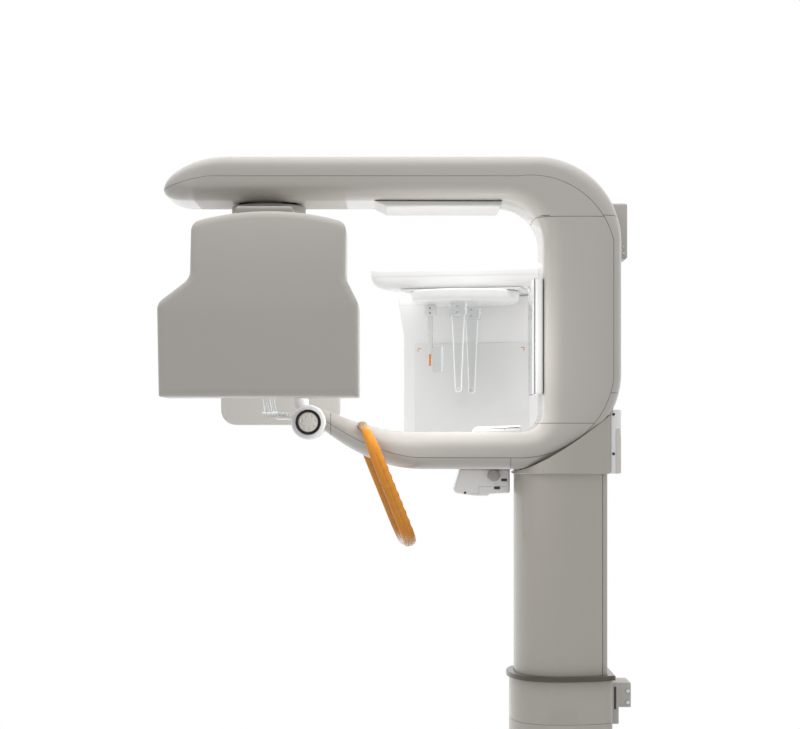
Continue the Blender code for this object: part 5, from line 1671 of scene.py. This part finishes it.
def makeDetector():
    d = detector
    left, right, bottom, waist, flare = ceph["detector"]
    near, far = ceph["near"], ceph["far"]
    top = dishBox[1].z
    corner, wide, neck = d["corner"], d["waistRound"], top - d["shoulder"]
    outline = filleted([(left, bottom, corner), (right, bottom, corner), (right, waist, wide),
                        (right + flare, neck, corner), (right + flare, top, 0), (left - flare, top, 0),
                        (left - flare, neck, corner), (left, waist, wide)], 8)

    def under(a, b, z):
        return cephPoint(a, b, min(z, top))

    body = meshFrom("cephDetector", skinned(plateRings(outline, d["rim"], near, far, under, 5)))
    down, half, deep = d["seam"]
    seamZ = top - down
    carve(body, cephSlab("detectorGroove", (left - 0.05, near - 0.01, seamZ - half),
                         (right + 0.05, near + deep, seamZ + half), 0.0001, 1))
    ride(body, "carriage", "detectorWhite", ["ceph_detector"])
    inLeft, inLow, inRight, inTop = ceph["window"]
    proud, sunk = d["paneFace"]
    lowCorner = (left + inLeft, near - proud, bottom + inLow)
    highCorner = (right - inRight, near - sunk, waist - inTop)
    ride(cephSlab("cephWindow", lowCorner, highCorner, 0.0010), "carriage", "windowPane",
         ["ceph_detector_window"])
    proud, sunk = d["markFace"]
    markZ = highCorner[2] - d["markDown"]
    for a, sign, side in ((lowCorner[0] + d["markIn"][0], 1, "Left"),
                          (highCorner[0] - d["markIn"][1], -1, "Right")):
        for part, (low, high) in d["marks"].items():
            x = sorted((a + sign * low[0], a + sign * high[0]))
            mark = cephSlab("cornerMark" + part + side, (x[0], near - proud, markZ + low[1]),
                            (x[1], near - sunk, markZ + high[1]), 0.0002, 1)
            ride(mark, "carriage", "orangeMark")
    capIn, capDown = d["capAt"]
    screwHead("detectorCap", cephPoint(right - capIn, near, top - capDown), -alongBeam, d["capSize"],
              "carriage",
              "pearlCover", 0.0012)


headDish = {"rim": 0.006, "lip": 0.001, "lipUp": 0.002, "underIn": 0.024, "underUp": 0.016, "hung": 0.0003}
earRod = {
    "blockDown": 0.041,
    "block": (0.025, 0.012),
    "blade": (0.0215, 0.0105),
    "thick": 0.0034,
    "bladeUp": 0.004,
    "tipDown": 0.0125,
    "plug": (0.0215, 0.0050, 0.0042),
    "edge": 0.0016,
    "edgeIn": 0.0010,
    "edgeFace": 0.0018,
    "screwUp": (0.011, 0.030),
    "screwSize": 0.0032,
    "tip": ((0.0026, 0.0006), (0.0055, 0.0006), (0.0058, 0), (0.0026, 0)),
    "tipFace": 0.0036,
}
nasion = {
    "blockDown": 0.034,
    "bar": (-0.120, -0.104, 0.004),
    "block": (-0.126, -0.094, 0.012),
    "pad": (-0.1037, -0.072, 0.010),
    "strip": (-0.1150, -0.1085, 0.020, 0.056),
    "stripFace": (0.0046, 0.0038),
    "screwA": -0.110,
    "screwUp": (0.009, 0.024),
    "screwSize": 0.0024,
}


def makeHeadDish():
    low, high = dishBox
    h = headDish
    radius, rim = (high.x - low.x) / 2, h["rim"]
    profile = [(0, high.z), (radius - rim, high.z)]
    profile += [(radius - rim * (1 - math.sin(a)), high.z - rim * (1 - math.cos(a))) for a in quarter(6, 1)]
    profile += [(radius - h["lip"] - h["underIn"] * (1 - math.cos(a)),
                 low.z + h["lipUp"] + h["underUp"] * (1 - math.sin(a))) for a in quarter(9)]
    profile += [(0, low.z)]
    dish = meshFrom("headDish", spun(profile, Matrix.Translation(cephAt), 128))
    ride(dish, "head_holder", "milkCover", ["ceph_dish"])


def makeEarRod(sign, name):
    # a clear blade that hangs from a block, with painted highlight strips along its edges, screws and a tip
    e = earRod
    b, earAxis = sign * ceph["earOut"], ceph["earAxis"]
    headLow = dishBox[0].z - e["blockDown"]
    wide, slim = e["blade"]
    upper = earAxis + e["bladeUp"]
    rings = []
    for share in [i / 24 for i in range(25)]:
        rings.append((mixed(wide, slim, share**0.8), mixed(headLow + e["bladeUp"], upper, share)))
    for a in quarter(8, 1):
        rings.append((slim * math.cos(a) + 0.0012, upper - e["tipDown"] * math.sin(a)))
    turns = [2 * math.pi * j / 24 for j in range(24)]
    blade = [[cephPoint(half * math.cos(a), b + e["thick"] * math.sin(a) * (0.55 + 0.45 * abs(math.cos(a))),
                        z)
              for a in turns] for half, z in rings]
    arm = meshFrom("earBlade", skinned(blade))
    halfA, halfB = e["block"]
    block = cephSlab("earBlock", (-halfA, b - halfB, headLow),
                     (halfA, b + halfB, dishBox[0].z - headDish["hung"]), 0.0025)
    reach, radius, endRadius = e["plug"]
    plug = meshFrom("plug", barBetween(cephPoint(0, b, earAxis), cephPoint(0, b - sign * reach, earAxis),
                                       radius, 32, endRadius))
    carve(arm, block, plug, join=True)
    side, body = name.capitalize(), "ear_" + name
    arm.name = "earRod" + side
    ride(arm, body, "clearAcrylic", ["ear_%s_arm" % name])
    # painted highlight: a glowing strip round the blade's edge
    face = b - e["edgeFace"]
    path = [cephPoint(e["edgeIn"] - half, face, z) for half, z in rings]
    path += [cephPoint(half - e["edgeIn"], face, z) for half, z in reversed(rings)]
    ride(bead("earHighlight" + side, path, alongBeam, e["edge"]), body, "paintedHighlight")
    for z in [headLow + up for up in e["screwUp"]]:
        screwHead("earScrew%s%d" % (side, round(z * 1000)), cephPoint(0, b - halfB, z), -alongBeam,
                  e["screwSize"],
                  body, "screwSteel")
    place = facing(cephPoint(0, b - e["tipFace"], earAxis), -alongBeam)
    ride(meshFrom("earTip" + side, spun(e["tip"], place, 40)), body, "pearlCover")


def makeNasion():
    n = nasion
    hung, headLow = dishBox[0].z - headDish["hung"], dishBox[0].z - n["blockDown"]
    low, high, half = n["bar"]
    arm = cephSlab("nasionBar", (low, -half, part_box("nasion_arm")[0].z), (high, half, headLow + 0.002),
                   0.0015)
    low, high, half = n["block"]
    carve(arm, cephSlab("nasionBlock", (low, -half, headLow), (high, half, hung), 0.0020), join=True)
    ride(arm, "nasion", "pearlCover", ["nasion_arm"])
    padLow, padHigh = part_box("nasion_pad")
    low, high, half = n["pad"]
    pad = cephSlab("nasionPad", (low, -half, padLow.z), (high, half, padHigh.z), 0.005, 6)
    ride(pad, "nasion", "clearAcrylic", ["nasion_pad"])
    low, high, base, crest = n["strip"]
    proud, sunk = n["stripFace"]
    strip = cephSlab("nasionStrip", (low, -proud, padLow.z + base), (high, -sunk, padLow.z + crest), 0.0003,
                     1)
    ride(strip, "nasion", "orangeMark")
    faceB = -n["block"][2]
    for z in [headLow + up for up in n["screwUp"]]:
        screwHead("nasionScrew%d" % round(z * 1000), cephPoint(n["screwA"], faceB, z), -alongBeam,
                  n["screwSize"],
                  "nasion", "inkPlastic", 0.0010)


makeArmRoot()
makeCephArm()
makeDetector()
makeHeadDish()
makeEarRod(-1, "near")
makeEarRod(1, "far")
makeNasion()
print("cephalometric arm made")


# mirror, pads and the inner works
def makeMirror():
    boxPiece("mirrorFrame", "mirror_frame", 0.006, 6, "carriage", "milkCover")
    boxPiece("mirrorGlass", "mirror_glass", 0.0008, 3, "carriage", "mirrorSilver")
    low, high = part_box("mirror_glass")
    grow = 0.0012
    edge = slabPiece("mirrorEdge", (high.x - grow, low.y - grow, low.z - grow),
                     (high.x, high.y + grow, high.z + grow), 0.0004)
    ride(edge, "carriage", "inkPlastic")


pads = {"rim": 0.006, "slant": 0.030, "sunk": 0.004, "padSlant": (0.013, 0.0025), "screwAt": (0.080, 0.0050)}


def makePads():
    low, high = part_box("arm_belly_cover")
    outline = filleted([(low.x + pads["slant"], low.z, 0.010), (high.x - 0.006, low.z, 0.006),
                        (high.x, high.z, 0), (low.x, high.z, 0)], 6)

    def under(x, y, z):
        return Vector((x, y, min(z, high.z)))

    belly = meshFrom("armBellyCover", skinned(plateRings(outline, pads["rim"], low.y, high.y, under)))
    ride(belly, "carriage", "bellyCover", ["arm_belly_cover"])
    padLow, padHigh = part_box("corner_pad")
    sunk = padLow.z - pads["sunk"]
    inwards, downwards = pads["padSlant"]
    outline = filleted([(padLow.x, sunk, 0), (padHigh.x, sunk, 0), (padHigh.x, padHigh.z, 0.003),
                        (padLow.x + inwards, padHigh.z - downwards, 0.008)], 6)

    def above(x, y, z):
        return Vector((x, y, max(z, sunk)))

    pad = meshFrom("cornerPad", skinned(plateRings(outline, pads["rim"], padLow.y, padHigh.y, above)))
    ride(pad, "carriage", "detectorWhite", ["corner_pad"])
    screwX, screwZ = pads["screwAt"]
    screwHead("cornerPadScrew", (padLow.x + screwX, padLow.y + 0.0004, padLow.z + screwZ), (0, -1, 0), 0.0017,
              "carriage", "slateCover", 0.0006)


def finishInnerWorks():
    # CAD nodes whose shape stays get their own finish
    plan = {
        "brushedSteel": ["stage_rail_near", "stage_rail_far", "rotor_stage", "sensor_hanger", "beam_limiter"],
        "turnedSteel": ["rotor_bearing", "rotor_gear", "motor_pinion", "rotor_shaft", "actuator_rod"],
        "castIron": ["arm_chassis", "frame_post", "rotor_motor", "lift_actuator", "x_ray_tube_unit"],
        "blackRubber": ["column_glide_liner"],
        "inkPlastic": ["sensor_panel"],
    }
    for finish, nodes in plan.items():
        for node in nodes:
            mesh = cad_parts[node].data
            mesh.materials.clear()
            mesh.materials.append(finishes[finish])


makeMirror()
makePads()
finishInnerWorks()
print("inner works finished")


# the end
print("the end")
